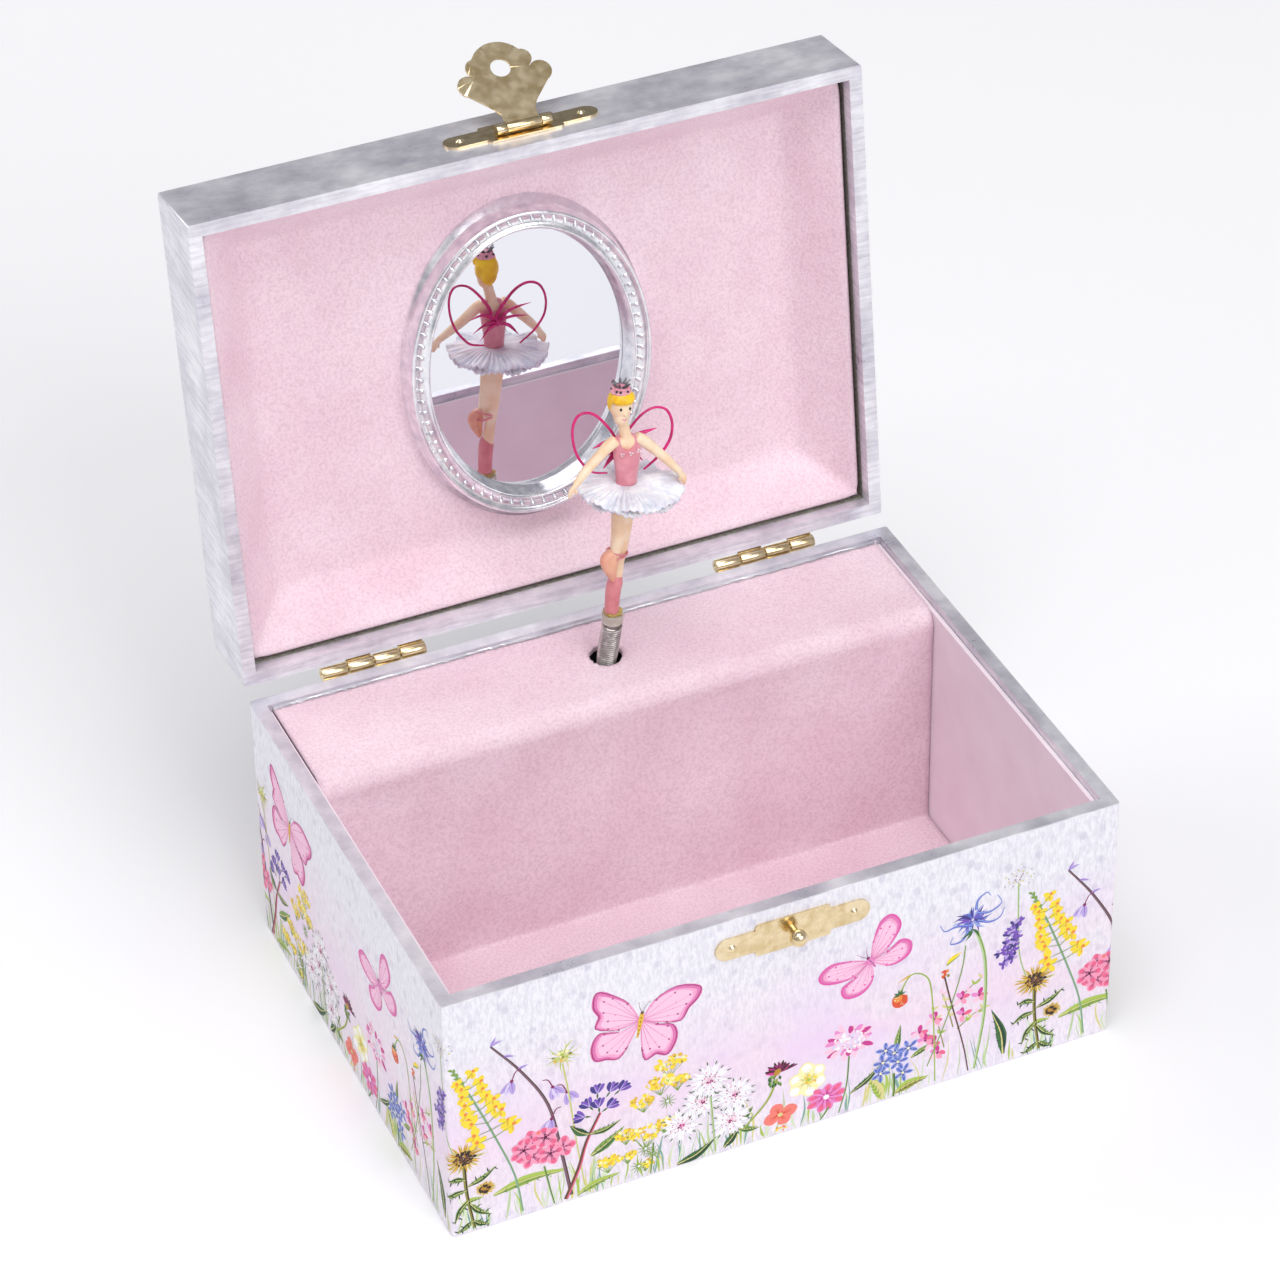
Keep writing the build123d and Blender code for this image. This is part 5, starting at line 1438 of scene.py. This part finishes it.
def meadow_print():
    """The meadow repeated round the box, cut off at the bottom edge."""
    meadow = Meadow()
    meadow.whole()
    names = list(INKS)
    sheet = bmesh.new()
    lifts = sheet.verts.layers.float.new("lift")
    start = -HALF_W - 2 * HALF_D
    end = start + 4 * PERIOD * MM
    for turn in range(-2, 4):
        made = []
        for place, lift in zip(meadow.points, meadow.lifts):
            vertex = sheet.verts.new(((place.real + turn * PERIOD) * MM, place.imag * MM, 0))
            vertex[lifts] = lift * MM
            made.append(vertex)
        for face, ink in zip(meadow.faces, meadow.inks):
            sheet.faces.new([made[k] for k in face]).material_index = names.index(ink)

    def cut(place, way, clear=False):
        bmesh.ops.bisect_plane(sheet, geom=sheet.verts[:] + sheet.edges[:] + sheet.faces[:], dist=1e-9,
                               plane_co=place, plane_no=way, clear_outer=clear)

    cut((start, 0, 0), (-1, 0, 0), True)
    cut((end, 0, 0), (1, 0, 0), True)
    cut((0, 0.2 * MM, 0), (0, -1, 0), True)
    corner = start
    for length in (2 * HALF_D, 2 * HALF_W) * 2:
        for step in (0, 0.33, 0.66, 1):
            cut((corner + step * CORNER, 0, 0), (1, 0, 0))
            cut((corner + length - step * CORNER, 0, 0), (1, 0, 0))
        corner += length
    for vertex in sheet.verts:
        vertex.co = on_wrap(vertex.co.x, vertex.co.y, vertex[lifts])
    sheet.verts.layers.float.remove(lifts)
    mesh = bpy.data.meshes.new("meadow_print")
    sheet.to_mesh(mesh)
    sheet.free()
    for name in names:
        mesh.materials.append(material("ink_" + name, INKS[name], 0.5, more={"Specular IOR Level": 0.3}))
    made = bpy.data.objects.new("meadow_print", mesh)
    bpy.context.scene.collection.objects.link(made)
    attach(made, "casing")


meadow_print()


# ---- camera, lights and floor -------------------------------------------------------
def camera():
    """The view from the front left, above, with a long lens."""
    azimuth, elevation, roll = (math.radians(a) for a in (-23.407, 36.912, -1.019))
    back = Vector((math.sin(azimuth) * math.cos(elevation), -math.cos(azimuth) * math.cos(elevation),
                   math.sin(elevation)))
    right = Vector((math.cos(azimuth), math.sin(azimuth), 0))
    up = back.cross(right)
    turned_right = right * math.cos(roll) + up * math.sin(roll)
    turned_up = up * math.cos(roll) - right * math.sin(roll)
    data = bpy.data.cameras.new("camera")
    data.lens = 133.6
    data.sensor_width = 36
    made = bpy.data.objects.new("camera", data)
    target = Vector((-8.55, -0.54, 96.33)) * MM
    distance = 990.8 * MM
    turn = Matrix([turned_right, turned_up, back]).transposed().to_4x4()
    made.matrix_world = Matrix.Translation(target + back * distance) @ turn
    bpy.context.scene.collection.objects.link(made)
    bpy.context.scene.camera = made


def softbox(name, place, aim, size, power):
    """A rectangular light of so many watts, aimed at a point."""
    data = bpy.data.lights.new(name, "AREA")
    data.shape = "RECTANGLE"
    data.size, data.size_y = size
    data.energy = power
    made = bpy.data.objects.new(name, data)
    made.location = place
    made.rotation_mode = "QUATERNION"
    made.rotation_quaternion = (Vector(aim) - Vector(place)).to_track_quat("-Z", "Y")
    bpy.context.scene.collection.objects.link(made)


def studio():
    """Soft lights from above and the front, in a pale room that is dimmer behind the lid."""
    world = bpy.data.worlds.new("studio")
    world.use_nodes = True
    tree = world.node_tree
    background = tree.nodes["Background"]
    background.inputs["Color"].default_value = (*rgb("F4F4FA"), 1)
    place = tree.nodes.new("ShaderNodeTexCoord")
    parts = tree.nodes.new("ShaderNodeSeparateXYZ")
    dimmer = tree.nodes.new("ShaderNodeMapRange")
    for name, value in (("From Min", -0.6), ("From Max", 0.8), ("To Min", 0.5), ("To Max", 0.24)):
        dimmer.inputs[name].default_value = value
    tree.links.new(place.outputs["Generated"], parts.inputs["Vector"])
    tree.links.new(parts.outputs["Y"], dimmer.inputs["Value"])
    tree.links.new(dimmer.outputs["Result"], background.inputs["Strength"])
    bpy.context.scene.world = world
    bpy.context.scene.view_settings.view_transform = "Standard"
    middle = (0, 0, 0.08)
    softbox("key_light", (0.6, -2.5, 1.9), middle, (2.0, 1.6), 37.0)
    softbox("top_light", (-0.5, -0.9, 3.2), middle, (2.2, 2.0), 49.0)
    softbox("left_light", (-2.4, -0.6, 2.2), middle, (1.2, 1.2), 3.0)
    softbox("backdrop_light", (-1.7, 1.5, 1.5), (-0.25, 0.6, 0), (1.2, 0.8), 15.0)

    reach = 6.0
    under = -0.1 * MM
    flat = Shape()
    flat.points = [(x * reach, y * reach, under) for x, y in ((-1, -1), (1, -1), (1, 1), (-1, 1))]
    flat.faces = [(0, 1, 2, 3)]
    floor = piece("floor", flat, "floor", smooth=False)


camera()
studio()
